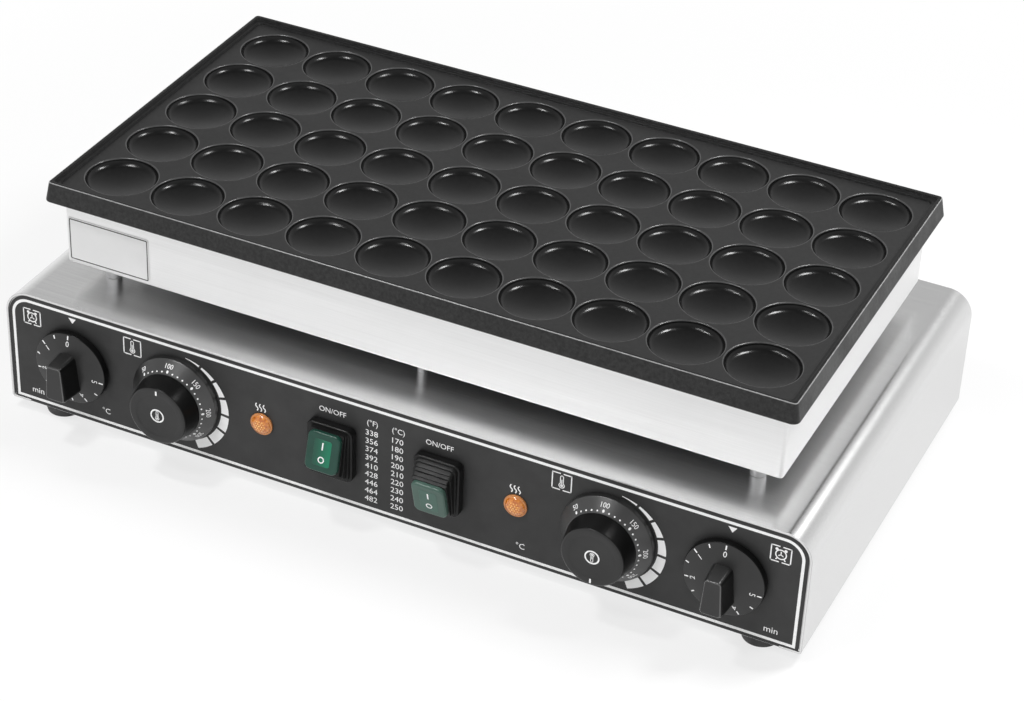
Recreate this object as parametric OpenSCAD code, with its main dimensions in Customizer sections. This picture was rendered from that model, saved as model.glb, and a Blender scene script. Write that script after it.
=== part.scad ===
// Counter-top mini pancake maker with two heating zones.
// A cast plate with rows of shallow cups sits on a steel skirt, carried on posts above a folded steel
// base. The base holds a timer, a thermostat, a pilot lamp and a rocker switch for each zone.
// Millimetres, +Z up, front panel towards -Y, origin on the floor at the middle of the footprint.

/* [Height stack] */
// Height of the rubber feet
foot_h = 7; // [5:0.5:15]
// Thickness of the bottom plate
bottom_t = 1; // [0.8:0.1:2]
// Height of the base housing, bottom edge to top face
housing_h = 82.5; // [76:0.5:110]
// Open gap between the base and the skirt
post_gap = 15; // [8:0.5:30]
// Height of the skirt under the plate
skirt_h = 46.8; // [42:0.2:70]
// Height of the plate's outer edge
plate_h = 12.7; // [11:0.1:18]

/* [Base housing] */
// Width of the base
base_w = 540; // [500:1:640]
// Depth of the base
base_d = 290; // [282:1:360]
// Outer radius of the two top bends
bend_r = 17; // [8:0.5:24]
// Sheet thickness of the wrap
wrap_t = 1.5; // [1:0.1:2]
// Sheet thickness of the front and rear panels
panel_t = 1.2; // [0.8:0.1:2]
// Gap between a panel and the wrap around it
panel_clr = 0.2; // [0.1:0.05:0.5]
// Thickness of the printed overlay
overlay_t = 0.5; // [0.3:0.1:1]
// How far the overlay and the rear panel sit behind the wrap's edges
panel_inset = 0.5; // [0.2:0.1:2]
// Width of the overlay's bare border
overlay_margin = 0.4; // [0.2:0.1:3]
// Radius of the overlay's lower corners
overlay_low_r = 3; // [1:0.5:8]
// Width of the wrap's bottom flanges
wrap_flange = 14; // [12:1:18]
// Depth of the panels' flanges
panel_flange = 11; // [8:0.5:11]
// Free length left at both ends of the panels' top flanges
flange_end = 12; // [10:1:20]
// Free length left at both ends of the wrap's bottom flanges
flange_relief = 20; // [16:1:40]
// How far the bottom plate stays inside the housing's outline
bottom_inset = 2; // [1:0.5:4]

/* [Vents and screws] */
// Number of slots in each vent group
vent_count = 9; // [4:1:12]
// Width of a vent slot
vent_w = 4; // [2:0.5:6]
// Length of a vent slot
vent_l = 34; // [16:1:44]
// Distance from slot to slot
vent_pitch = 9; // [7:0.5:12]
// Distance of the vent groups from the middle
vent_x = 80; // [60:1:100]
// Radius of the small machine screws
screw_r = 2; // [1.5:0.1:2.2]
// Head radius of the small machine screws
screw_head_r = 3.6; // [3:0.1:4]
// Head height of the small machine screws
screw_head_h = 2.2; // [1.5:0.1:2.6]
// Radial gap in a clearance hole
hole_clr = 0.3; // [0.15:0.05:0.5]
// Radial gap in a threaded hole
thread_clr = 0.02; // [0.01:0.01:0.05]
// Size of the tabs that take the rear panel's screws
tab_size = 16; // [12:1:20]
// Height of the lower side tabs above the housing's bottom edge
tab_low = 20; // [12:1:30]
// Height of the upper side tabs above the housing's bottom edge
tab_high = 54; // [48:1:58]
// Distance of the upper rear screws from the base's ends
rear_screw_inset = 70; // [50:1:100]
// Distance of the front and rear bottom screws from the base's ends
bottom_screw_inset = 120; // [70:1:170]
// Distance of the outer side screws from the middle of the bottom plate
bottom_screw_y = 80; // [50:1:100]

/* [Feet] */
// Radius of a foot at its top
foot_r = 13; // [9:0.5:14]
// How much a foot's radius shrinks towards the floor
foot_taper = 1.5; // [0:0.5:3]
// Distance of the feet from the base's ends
foot_inset_x = 30; // [30:1:60]
// Distance of the feet from the base's front and back
foot_inset_y = 15; // [14:1:45]
// Radius of the screw recess in a foot
foot_recess_r = 5; // [4.5:0.5:7]
// Rubber left above the screw recess
foot_seat = 3; // [2:0.5:4]
// Width across flats of the foot nuts
foot_nut_af = 7; // [6:0.5:7]
// Thickness of the foot nuts
foot_nut_h = 3.2; // [2.5:0.1:4]

/* [Baking plate] */
// Width of the plate at its lower edge
plate_w = 495; // [490:1:520]
// Depth of the plate at its lower edge
plate_d = 260; // [256:1:275]
// How far the edge leans in over its height
plate_draft = 2.5; // [0:0.5:3]
// Corner radius of the plate
plate_r = 5; // [4:0.5:8]
// Width of the rim's top
rim_w = 2.5; // [1.5:0.5:3]
// Height of the rim above the ledge inside it
rim_h = 1.8; // [1:0.1:2.5]
// Width of the ledge inside the rim
ledge_w = 2.5; // [1:0.5:3]
// Height of the ledge above the cooking surface
ledge_h = 1.7; // [0.8:0.1:2]
// Cups from left to right
cups_x = 10; // [2:1:10]
// Cups from front to back
cups_y = 5; // [2:1:5]
// Distance from cup to cup, left to right
cup_pitch_x = 47.2; // [46:0.1:48]
// Distance from cup to cup, front to back
cup_pitch_y = 47.4; // [46:0.1:48]
// Diameter of a cup at the surface
cup_d = 45; // [30:0.5:45]
// Depth of a cup
cup_depth = 7; // [6:0.1:7]
// Radius of the bend between a cup's floor and its lip
cup_bend = 5; // [3:0.1:5.5]
// Thickness of the core inside the skirt, below the plate's edge
core_t = 5; // [2:0.5:6]
// Gap between the core and the skirt's lip
core_clr = 1; // [0.5:0.1:1.5]
// Radius of the bosses under the plate
boss_r = 7; // [6:0.5:8]
// Length of the bosses under the plate
boss_h = 14; // [12:0.5:18]

/* [Skirt and posts] */
// How far the skirt sits inside the plate, left and right
skirt_inset_x = 8.5; // [4:0.5:12]
// How far the skirt sits inside the plate, front and back
skirt_inset_y = 10.5; // [4:0.5:12]
// Sheet thickness of the skirt
skirt_t = 1.2; // [0.8:0.1:2]
// Corner radius of the skirt
skirt_r = 3; // [2:0.5:8]
// Width of the skirt's bottom flange
skirt_flange = 32; // [30:1:40]
// Width of the skirt's top flange
skirt_lip = 8; // [4:1:12]
// Distance of the corner posts from the middle
post_x = 218; // [212:1:220]
// Distance of the posts from the middle, front and back
post_y = 100; // [97:1:102]
// Radius of a corner post
post_r = 5; // [4:0.5:7]
// Radius of the studs that tie plate and base together
stud_r = 3; // [2.5:0.1:3.5]
// Length of stud below the base's top sheet
stud_tail = 11; // [9:0.5:20]
// Depth of the stud in its boss
stud_bite = 10; // [6:0.5:11]
// Width across flats of the stud nuts
stud_nut_af = 10; // [9:0.5:13]
// Thickness of the stud nuts
stud_nut_h = 5; // [4:0.5:6]
// Sheet thickness of the heat shield
shield_t = 1; // [0.8:0.1:2]
// Thickness of the insulation
blanket_t = 20; // [10:1:22]
// Radius of the opening for wires between base and plate
chase_r = 22; // [21:0.5:26]
// Wall of the wiring sleeve
chase_wall = 2; // [1:0.5:4]

/* [Heating elements] */
// Diameter of the element's sheath
element_d = 8; // [6:0.1:8]
// Distance of the element's ends from the middle, left and right
element_x0 = 14; // [13:0.5:15]
// Distance of the inner bends from the middle
element_x1 = 26; // [24:1:40]
// Distance of the outer bends from the middle
element_x2 = 188; // [175:1:190]
// Distance of the outermost leg from the middle
element_x3 = 205; // [203:1:205]
// Distance of the inner legs from the middle, front and back
element_y1 = 9; // [8:0.5:10]
// Distance of the middle legs from the middle, front and back
element_y2 = 46; // [40:1:48]
// Distance of the outer legs from the middle, front and back
element_y3 = 84; // [78:1:86]
// Bend radius of the outer corners
element_corner = 25; // [14:1:30]
// Gap between an element and what it is pressed against
seat_clr = 0.05; // [0.02:0.01:0.2]
// Height of the sheath's ends above the heat shield
element_tail = 6; // [2:0.5:14]
// Diameter of a terminal pin
pin_d = 4; // [3:0.1:5]
// Distance of the inner clamp bars from the middle
clamp_x1 = 75; // [60:1:100]
// Distance of the outer clamp bars from the middle
clamp_x2 = 152; // [125:1:160]
// Width of a clamp bar
clamp_w = 16; // [10:1:24]
// Thickness of a clamp bar
clamp_t = 3; // [2:0.5:5]
// Depth of the clamp screws in the plate
clamp_bite = 4; // [3:0.5:5]
// Radius of the clamp screws
clamp_screw_r = 2.5; // [2:0.1:3]

/* [Control panel] */
// Height of the controls' axes above the housing's bottom edge
control_h = 41; // [38:0.5:44]
// Place of the timers, in percent of the way from the middle to the base's ends
timer_share = 81.67; // [78:0.01:84]
// Place of the thermostats, in percent of the same way
stat_share = 54.07; // [52:0.01:58]
// Place of the lamps, in percent of the same way
lamp_share = 31.85; // [28:0.01:35]
// Place of the switches, in percent of the same way
switch_share = 13.33; // [11:0.01:16]
// Radius of the control shafts
shaft_r = 3; // [2.5:0.1:4]
// Running gap of a shaft or pivot in its bore
run_clr = 0.05; // [0.02:0.01:0.09]
// Flat cut on a shaft
shaft_flat = 0.8; // [0.4:0.1:1.2]
// Radius of the bushes that carry the shafts
bush_r = 5; // [4.5:0.1:6]
// How far a bush stands out of the overlay
bush_out = 2; // [1:0.1:2.4]
// Depth of a shaft's bore behind the mounting plate
bush_bore = 12; // [8:0.5:16]
// Depth of the knobs' blind holes, measured back from the knob's front
socket_cover = 6; // [4:0.5:8]
// Depth of the control screws behind the panel
control_bite = 8; // [4:0.5:10]
// Gap at the end of a shaft or screw in its blind hole
end_clr = 0.3; // [0.1:0.1:1]
// Width of a terminal blade
blade_w = 6.3; // [4.8:0.1:6.3]
// Thickness of a terminal blade
blade_t = 0.8; // [0.5:0.1:1]
// Length of a terminal blade
blade_l = 8; // [6:0.5:10]

/* [Timer] */
// Radius of the timer's dial
dial_r = 25.3; // [22:0.1:27]
// Height of the dial's rim above the housing's front edge
dial_h = 6.8; // [5.6:0.1:10]
// Rise of the dial's face from rim to hub
dial_crown = 1; // [0:0.1:2]
// Wall of the hollow knobs
knob_wall = 2; // [1.2:0.1:2]
// Gap between a turning knob and what is behind it
knob_clr = 0.5; // [0.4:0.1:1.5]
// Reach of the timer's grip in front of the housing
timer_reach = 24; // [18:0.5:32]
// Width of the grip at the dial
grip_w = 16; // [12:0.2:18]
// Width of the grip at its front
grip_tip_w = 13.2; // [10:0.2:15]
// Length of the grip below the axis
grip_low = 14.6; // [10:0.2:17]
// Length of the grip above the axis
grip_high = 11.4; // [9:0.2:15]
// Corner radius of the grip
grip_r = 3; // [1:0.5:4]
// Width of the timer's mounting plate
timer_plate_w = 50; // [46:1:56]
// Height of the timer's mounting plate
timer_plate_h = 30; // [20:1:40]
// Thickness of the timer's mounting plate
timer_plate_t = 1.5; // [1:0.1:3]
// Radius of the timer's clockwork can
timer_can_r = 21; // [18:0.5:23]
// Depth of the timer's clockwork can
timer_can_l = 27; // [20:1:40]
// Distance of the timer's screws from its axis
timer_screw_x = 17; // [13:0.5:18]

/* [Thermostat] */
// Outer radius of the scale ring
bezel_r = 29.6; // [28:0.1:32]
// Height of the scale ring's rim
bezel_rim_h = 3.7; // [2:0.1:5]
// Radius of the scale ring's inner edge
bezel_top_r = 22.5; // [22:0.1:24]
// Height of the scale ring's inner edge
bezel_top_h = 10.7; // [9:0.1:13]
// Wall of the scale ring
bezel_wall = 2; // [1.2:0.1:2.4]
// Thickness of the scale ring's floor
bezel_floor = 1.5; // [1:0.1:2]
// Reach of the thermostat knob in front of the housing
stat_reach = 24; // [20:0.5:32]
// Radius of the thermostat knob's front
cap_r = 19.8; // [17:0.1:21]
// Radius of the knob's rounded front edge
cap_edge_r = 1.6; // [0.6:0.1:2]
// Depth of the dish in the knob's front
cap_dish = 0.6; // [0.2:0.1:1.2]
// Width of the raised ring around the dish
cap_ring_w = 2.4; // [1:0.1:4]
// Radius of the hubs inside the knobs
hub_r = 6.5; // [6:0.1:8]
// Thickness of the thermostat's mounting plate
stat_plate_t = 1.5; // [1:0.1:3]
// Width of the thermostat body
stat_body_w = 36; // [30:1:40]
// Height of the thermostat body
stat_body_h = 44; // [38:1:50]
// Depth of the thermostat body
stat_body_l = 29.5; // [26:0.5:44]
// Distance of the thermostat's screws from its axis
stat_screw_z = 14; // [12:0.5:15]
// Diameter of the sensing bulb
bulb_d = 6; // [4:0.1:6]
// Length of the sensing bulb
bulb_l = 80; // [40:1:110]
// Distance of the bulb's near end from the middle
bulb_x = 60; // [45:1:80]
// Diameter of the capillary
capillary_d = 2; // [1.6:0.1:2.4]
// Distance of the capillary from the middle in the sleeve
capillary_x = 6; // [4:0.5:7]
// Bend radius of the capillary
capillary_bend = 8; // [5:0.5:10]
// Where the capillary crosses the base, behind the middle of the front
capillary_y = -62; // [-75:1:-40]
// Height of the capillary's entry above the thermostat's axis
capillary_rise = 10; // [8:0.5:14]

/* [Rocker switch] */
// Width of the switch's frame
frame_w = 31; // [28:0.5:34]
// Height of the switch's frame
frame_h = 38; // [36:0.5:42]
// Height of the frame above the housing's front edge
frame_reach = 6; // [5:0.1:6.4]
// Corner radius of the frame
frame_r = 4; // [1:0.5:5]
// Inset of the boot's first fold from the frame's edge
boot_inset = 1.6; // [1:0.1:2]
// Number of folds in the boot, from the frame to the pad
boot_folds = 3; // [2:1:4]
// Thickness of a fold
boot_h = 1.2; // [0.6:0.1:1.4]
// Depth of the grooves between the folds
boot_groove = 1; // [0.6:0.1:1.2]
// How far the last fold stands out around the pad
boot_brim = 0.6; // [0.2:0.1:1]
// Gap between the boot and the key inside it
boot_clr = 0.4; // [0.2:0.1:0.8]
// Width of the key's pad
pad_w = 22; // [19:0.5:23]
// Height of the key's pad
pad_h = 25.5; // [22:0.5:26]
// Thickness of the key's pad
pad_t = 3; // [2:0.1:3.2]
// Corner radius of the pad
pad_r = 4; // [1:0.5:6]
// Distance of the pad's face from the pivot
pad_reach = 19; // [18.6:0.1:21]
// Width of the key's neck
neck_w = 18; // [14:0.5:18]
// Height of the key's neck
neck_h = 20; // [14:0.5:20]
// Thickness of the key's neck
neck_t = 3; // [1:0.1:3]
// Side of the key's stem
stem_w = 12; // [8:0.5:13]
// Depth of the pivot behind the housing's front edge
pivot_depth = 3.5; // [3.2:0.1:4]
// Tilt of the key to each side
rock_angle = 15; // [8:0.5:15]
// Radius of the pivot pins
pivot_r = 2; // [1.5:0.1:2.4]
// Opening in the frame left and right of the key's neck
throat_clr = 1; // [0.6:0.1:1.5]
// Width of the switch body behind the panel
switch_body_w = 21; // [20.5:0.1:22]
// Height of the switch body behind the panel
switch_body_h = 29; // [28.5:0.5:31]
// Depth of the switch body behind the housing's front edge
switch_body_l = 28; // [24:0.5:40]
// Distance of the switch's terminals from its middle, left and right
switch_blade_x = 5; // [4.5:0.5:6]
// Distance from terminal to terminal, up and down
switch_blade_y = 9; // [7.5:0.5:10]
// Wall of the switch body
switch_wall = 2; // [1.6:0.1:2.4]
// Depth of the hollow for the key's stem
switch_hollow = 14; // [10:0.5:18]

/* [Pilot lamp] */
// Radius of the lens flange
lens_r = 7.6; // [7.4:0.1:10]
// Thickness of the lens flange in front of the housing's edge
lens_rim_h = 0.8; // [0.4:0.1:2]
// Radius of the lens dome
dome_r = 6.6; // [6:0.1:7.2]
// Height of the lens dome
dome_h = 2.6; // [1:0.1:4]
// Radius of the lens barrel
barrel_r = 5.6; // [5:0.1:5.8]
// Length of the lens barrel behind the housing's front edge
barrel_l = 9; // [6:0.5:14]
// Radius of the lamp's body
lamp_r = 7.5; // [6.8:0.1:9]
// Length of the lamp's body
lamp_l = 22; // [16:1:30]

/* [Mains entry] */
// Distance of the gland from the base's right end
gland_inset = 100; // [85:1:120]
// Height of the gland above the housing's bottom edge
gland_h = 32; // [24:1:50]
// Reach of the gland behind the housing
gland_reach = 24; // [20:0.5:32]
// Radius of the gland's panel thread
gland_r = 10; // [9:0.1:11]
// Width across flats of the gland's flange and lock nut
gland_af = 24; // [23:0.5:28]
// Thickness of the gland's flange and lock nut
gland_flange = 5; // [3:0.5:6]
// Length of the gland's thread inside the housing
gland_tail = 10; // [8:0.5:14]
// Radius of the gland's outer thread
gland_neck_r = 9; // [8.4:0.1:9.4]
// Length of the gland's outer thread
gland_neck_l = 9; // [6:0.5:10]
// Radius of the gland's dome nut
gland_dome_r = 12; // [11.5:0.1:14]
// Radius of the mains lead that the gland takes
lead_r = 4.5; // [3:0.1:5]
// Wall of the gland's rubber seal
seal_wall = 2; // [1:0.1:2.2]
// Width of the terminal block
block_w = 45; // [34:1:60]
// Depth of the terminal block
block_d = 24; // [18:1:30]
// Height of the terminal block
block_h = 18; // [12:1:30]
// Ways of the terminal block
block_ways = 3; // [2:1:3]
// Distance of the terminal block from the rear panel
block_gap = 34; // [28:1:60]
// Radius of the earth stud
earth_r = 2.5; // [2:0.1:3]
// Distance of the earth stud from the terminal block
earth_gap = 20; // [12:1:30]
// Length of the earth stud
earth_l = 16; // [14:0.5:24]

/* [Hidden] */
$fn = 48;
left = -1;
right = 1;
sides = [left, right];
cut = 1;

// Heights of the stacked pieces
z_bottom = foot_h + bottom_t;
z_base = z_bottom + housing_h;
z_base_in = z_base - wrap_t;
z_skirt = z_base + post_gap;
z_shield = z_skirt + skirt_t;
z_blanket = z_shield + shield_t;
z_plate = z_skirt + skirt_h;
z_top = z_plate + plate_h;
z_surface = z_top - rim_h - ledge_h;
z_under = z_plate - core_t;
z_element = z_under - element_d / 2 - seat_clr;
z_clamp = z_element - element_d / 2 - seat_clr - clamp_t;
z_bulb = z_under - bulb_d / 2 - seat_clr;
z_control = z_bottom + control_h;

// Depths of the panel's layers, and the same layers as heights in front of the housing's front edge
y_front = -base_d / 2;
y_overlay = y_front + panel_inset;
y_panel = y_overlay + overlay_t;
y_panel_back = y_panel + panel_t;
y_rear = base_d / 2 - panel_inset;
y_rear_in = y_rear - panel_t;
h_overlay = -panel_inset;
h_panel_back = y_front - y_panel_back;

// Places that follow the base's width and depth
foot_x = base_w / 2 - foot_inset_x;
foot_y = base_d / 2 - foot_inset_y;
rear_screw_x = base_w / 2 - rear_screw_inset;
bottom_screw_x = base_w / 2 - bottom_screw_inset;
gland_x = base_w / 2 - gland_inset;
timer_x = base_w / 2 * timer_share / 100;
stat_x = base_w / 2 * stat_share / 100;
lamp_x = base_w / 2 * lamp_share / 100;
switch_x = base_w / 2 * switch_share / 100;

// Outline of the panels inside the wrap
panel_w = base_w - 2 * (wrap_t + panel_clr);
panel_top_h = housing_h - wrap_t - panel_clr;
panel_r = bend_r - wrap_t - panel_clr;

skirt_w = plate_w - 2 * skirt_inset_x;
skirt_d = plate_d - 2 * skirt_inset_y;
core_w = skirt_w - 2 * (skirt_lip + core_clr);
core_d = skirt_d - 2 * (skirt_lip + core_clr);
cup_r = cup_d / 2;
cup_flat = cup_r - cup_bend;
cup_dip = cup_depth - cup_bend;
cup_rise = (cup_flat * cup_flat - cup_dip * cup_dip) / (2 * cup_dip);
cup_floor_r = cup_rise + cup_depth;
hole_r = screw_r + hole_clr;
thread_r = screw_r + thread_clr;
stud_hole_r = stud_r + hole_clr;
bush_hole_r = bush_r + hole_clr;
clamp_x = [clamp_x1, clamp_x2];
clamp_y = (element_y1 + element_y2) / 2;
stat_bore = stat_plate_t + bush_bore;
timer_bore = timer_plate_t + bush_bore;

post_spots = [for (x = [-post_x, 0, post_x], y = [-post_y, post_y]) [x, y]];
corner_spots = [for (x = [-post_x, post_x], y = [-post_y, post_y]) [x, y]];
foot_spots = [for (x = [-foot_x, foot_x], y = [-foot_y, foot_y]) [x, y]];
clamp_spots = [for (s = sides, x = clamp_x, y = [-clamp_y, clamp_y]) [s * x, y]];
side_screw_x = base_w / 2 - wrap_t - (wrap_flange - wrap_t) / 2;
end_screw_y = y_rear_in - panel_flange / 2;
bottom_spots = concat(
    [for (x = [-side_screw_x, side_screw_x], y = [-bottom_screw_y, 0, bottom_screw_y]) [x, y]],
    [for (x = [-bottom_screw_x, bottom_screw_x], y = [-end_screw_y, end_screw_y]) [x, y]]
);
tab_x = base_w / 2 - wrap_t - tab_size / 2;
rear_spots = concat(
    [for (s = sides, z = [z_bottom + tab_low, z_bottom + tab_high]) [s * tab_x, z]],
    [for (s = sides) [s * rear_screw_x, z_base_in - tab_size / 2]]
);

// Colours
c_plate = "#333335";
c_steel = "#c9cacc";
c_black = "#2b2b2d";
c_metal = "#9a9c9f";
c_rubber = "#3a3a3a";

// Rounded rectangle around the origin
module rounded(w, d, r) {
    square([w - 2 * r, d], center = true);
    square([w, d - 2 * r], center = true);
    for (x = [-1, 1], y = [-1, 1])
        translate([x * (w / 2 - r), y * (d / 2 - r)])
            circle(r);
}

// Plate with rounded upright corners, standing on the origin's plane
module slab(w, d, h, r) {
    linear_extrude(h)
        rounded(w, d, r);
}

// Front outline of the housing: upright sides, round top corners, standing on the axis
module arch(w, h, r, low_r = 0) {
    translate([-w / 2, low_r])
        square([w, h - r - low_r]);
    translate([-w / 2 + r, h - r - cut])
        square([w - 2 * r, r + cut]);
    for (s = sides)
        translate([s * (w / 2 - r), h - r])
            circle(r);
    if (low_r > 0) {
        translate([-w / 2 + low_r, 0])
            square([w - 2 * low_r, low_r + cut]);
        for (s = sides)
            translate([s * (w / 2 - low_r), low_r])
                circle(low_r);
    }
}

// Outline drawn in X and Z, pushed from y0 to y1
module along_y(y0, y1) {
    translate([0, y1, 0])
        rotate([90, 0, 0])
            linear_extrude(y1 - y0)
                children();
}

// Frame of a control: X to the right, Y up, Z out of the panel, on the housing's front edge
module facing(x) {
    translate([x, y_front, z_control])
        rotate([90, 0, 0])
            children();
}

// Frame on the rear panel's outer face, Z pointing away from the housing
module rear_facing(x, z) {
    translate([x, y_rear, z])
        rotate([-90, 0, 0])
            children();
}

// Pin from z0 to z1
module peg(r, z0, z1) {
    translate([0, 0, z0])
        cylinder(h = z1 - z0, r = r);
}

// Hexagon across flats from z0 to z1
module hexagon(af, z0, z1) {
    translate([0, 0, z0])
        cylinder(h = z1 - z0, r = af / 2 / cos(30), $fn = 6);
}

// Pan head screw: head above z = 0, shank below
module pan_screw(r, head_r, head_h, length) {
    peg(r, -length, 0);
    rotate_extrude()
        intersection() {
            square([head_r, head_h]);
            translate([0, head_h - head_r * 1.6])
                circle(head_r * 1.6);
        }
}

// Straight rod between two points
module rod(a, b, d) {
    v = b - a;
    translate(a)
        rotate([0, acos(v.z / norm(v)), atan2(v.y, v.x)])
            cylinder(h = norm(v), d = d);
}

// Quarter bend at corner p, arriving along u and leaving along v
module elbow(p, u, v, r, d) {
    w = cross(-v, u);
    c = p - r * u + r * v;
    multmatrix([[-v.x, u.x, w.x, c.x], [-v.y, u.y, w.y, c.y], [-v.z, u.z, w.z, c.z]])
        rotate_extrude(angle = 90)
            translate([r, 0])
                circle(d = d);
}

// Bent rod along points joined by right angles, with one bend radius for each inner point
module bent_rod(points, bends, d) {
    last = len(points) - 1;
    dir = [for (i = [0:last - 1]) (points[i + 1] - points[i]) / norm(points[i + 1] - points[i])];
    trim = concat([0], bends, [0]);
    for (i = [0:last - 1]) {
        a = points[i] + trim[i] * dir[i];
        b = points[i + 1] - trim[i + 1] * dir[i];
        if (norm(b - a) > 0.001)
            rod(a, b, d);
    }
    for (i = [1:last - 1])
        elbow(points[i], dir[i - 1], dir[i], bends[i - 1], d);
}

// Rounded slot for vents
module slot(w, l) {
    square([w, l - w], center = true);
    for (s = sides)
        translate([0, s * (l - w) / 2])
            circle(w / 2);
}

module vent_row() {
    for (s = sides, i = [0:vent_count - 1])
        translate([s * vent_x + (i - (vent_count - 1) / 2) * vent_pitch, 0])
            slot(vent_w, vent_l);
}

// Slab whose four sides and rounded corners all lean in by the same draft
module plate_casting() {
    x = plate_w / 2;
    y = plate_d / 2;
    lean = plate_draft;
    translate([0, 0, z_plate]) {
        along_y(plate_r - y, y - plate_r)
            polygon([[-x, 0], [x, 0], [x - lean, plate_h], [lean - x, plate_h]]);
        rotate([0, 0, 90])
            along_y(plate_r - x, x - plate_r)
                polygon([[-y, 0], [y, 0], [y - lean, plate_h], [lean - y, plate_h]]);
        for (i = sides, j = sides)
            translate([i * (x - plate_r), j * (y - plate_r), 0])
                cylinder(h = plate_h, r1 = plate_r, r2 = plate_r - lean);
    }
}

// Hollow of one cup below the surface: dished floor, round bend and upright lip
module cup() {
    touch = cup_flat * cup_floor_r / (cup_floor_r - cup_bend);
    rotate_extrude() {
        intersection() {
            translate([0, cup_rise])
                circle(cup_floor_r);
            translate([0, -cup_depth])
                square([touch, cup_depth]);
        }
        intersection() {
            translate([cup_flat, 0])
                circle(cup_bend);
            translate([0, -cup_depth])
                square([cup_r, cup_depth]);
        }
        square([cup_r, cut]);
    }
}

// Cast plate: drafted edge, stepped rim, cups, bosses and threaded holes underneath
module baking_plate() {
    color(c_plate)
    difference() {
        union() {
            plate_casting();
            translate([0, 0, z_under])
                slab(core_w, core_d, core_t + cut, skirt_r + 3);
            for (p = post_spots)
                translate([p.x, p.y, z_under - boss_h])
                    cylinder(h = boss_h + cut, r = boss_r);
        }
        ledge_edge = plate_draft + rim_w;
        floor_edge = ledge_edge + ledge_w;
        translate([0, 0, z_top - rim_h])
            slab(plate_w - 2 * ledge_edge, plate_d - 2 * ledge_edge, rim_h + cut, plate_r);
        translate([0, 0, z_surface])
            slab(plate_w - 2 * floor_edge, plate_d - 2 * floor_edge, rim_h + ledge_h + cut, plate_r);
        for (i = [0:cups_x - 1], j = [0:cups_y - 1])
            translate([
                (i - (cups_x - 1) / 2) * cup_pitch_x,
                (j - (cups_y - 1) / 2) * cup_pitch_y,
                z_surface
            ])
                cup();
        for (p = post_spots)
            translate([p.x, p.y, z_under - boss_h - cut])
                cylinder(h = stud_bite + cut, r = stud_r + thread_clr);
        for (p = clamp_spots)
            translate([p.x, p.y, z_under - cut])
                cylinder(h = clamp_bite + cut, r = clamp_screw_r + thread_clr);
    }
}

// Folded skirt: four walls, a top lip under the plate and a wide bottom flange on the posts
module plate_skirt() {
    color("#dcdddf")
    difference() {
        translate([0, 0, z_skirt])
            slab(skirt_w, skirt_d, skirt_h, skirt_r);
        translate([0, 0, z_shield])
            slab(skirt_w - 2 * skirt_t, skirt_d - 2 * skirt_t, skirt_h - 2 * skirt_t, skirt_r - skirt_t);
        translate([0, 0, z_skirt - cut])
            slab(skirt_w - 2 * skirt_flange, skirt_d - 2 * skirt_flange, skirt_t + 2 * cut, skirt_r);
        translate([0, 0, z_plate - skirt_t - cut])
            slab(skirt_w - 2 * skirt_lip, skirt_d - 2 * skirt_lip, skirt_t + 2 * cut, skirt_r);
        for (p = post_spots)
            translate([p.x, p.y, z_skirt - cut])
                cylinder(h = skirt_t + 2 * cut, r = stud_hole_r);
    }
}

// Flat sheet on the skirt's bottom flange
module heat_shield() {
    color("#b9bbbd")
    difference() {
        translate([0, 0, z_shield])
            slab(skirt_w - 2 * (skirt_t + panel_clr), skirt_d - 2 * (skirt_t + panel_clr),
                shield_t, skirt_r);
        for (p = post_spots)
            translate([p.x, p.y, z_shield - cut])
                cylinder(h = shield_t + 2 * cut, r = stud_hole_r);
        translate([0, 0, z_shield - cut])
            cylinder(h = shield_t + 2 * cut, r = chase_r);
    }
}

// Fibre blanket on the heat shield
module insulation_blanket() {
    color("#e8e4d8")
    difference() {
        translate([0, 0, z_blanket])
            slab(skirt_w - 2 * skirt_t - 6, skirt_d - 2 * skirt_t - 6, blanket_t, skirt_r + 3);
        for (p = post_spots)
            translate([p.x, p.y, z_blanket - cut])
                cylinder(h = blanket_t + 2 * cut, r = stud_r + 3);
        translate([0, 0, z_blanket - cut])
            cylinder(h = blanket_t + 2 * cut, r = chase_r);
    }
}

// Tubular element of one zone, with its ends turned down into the wiring sleeve
module heating_element(side) {
    bend_1 = (element_y2 - element_y1) / 2;
    bend_2 = (element_y3 - element_y2) / 2;
    foot = z_blanket + element_tail;
    half = [
        [element_x0, element_y1, foot],
        [element_x0, element_y1, z_element],
        [element_x2, element_y1, z_element],
        [element_x2, element_y2, z_element],
        [element_x1, element_y2, z_element],
        [element_x1, element_y3, z_element],
        [element_x3, element_y3, z_element]
    ];
    half_bends = [element_d, bend_1, bend_1, bend_2, bend_2, element_corner];
    back = [for (i = [len(half) - 1:-1:0]) [side * half[i].x, -half[i].y, half[i].z]];
    front = [for (p = half) [side * p.x, p.y, p.z]];
    back_bends = [for (i = [len(half_bends) - 1:-1:0]) half_bends[i]];
    color(c_metal) {
        bent_rod(concat(front, back), concat(half_bends, back_bends), element_d);
        for (y = [-element_y1, element_y1])
            translate([side * element_x0, y, 0])
                peg(pin_d / 2, z_skirt, foot + cut);
    }
}

// Bars that press the elements against the plate
module element_clamps() {
    color(c_metal)
    for (s = sides, x = clamp_x)
        difference() {
            translate([s * x, 0, z_clamp])
                slab(clamp_w, 2 * (element_y3 + element_d), clamp_t, 2);
            for (y = [-clamp_y, clamp_y])
                translate([s * x, y, z_clamp - cut])
                    cylinder(h = clamp_t + 2 * cut, r = clamp_screw_r + hole_clr);
        }
}

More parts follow.
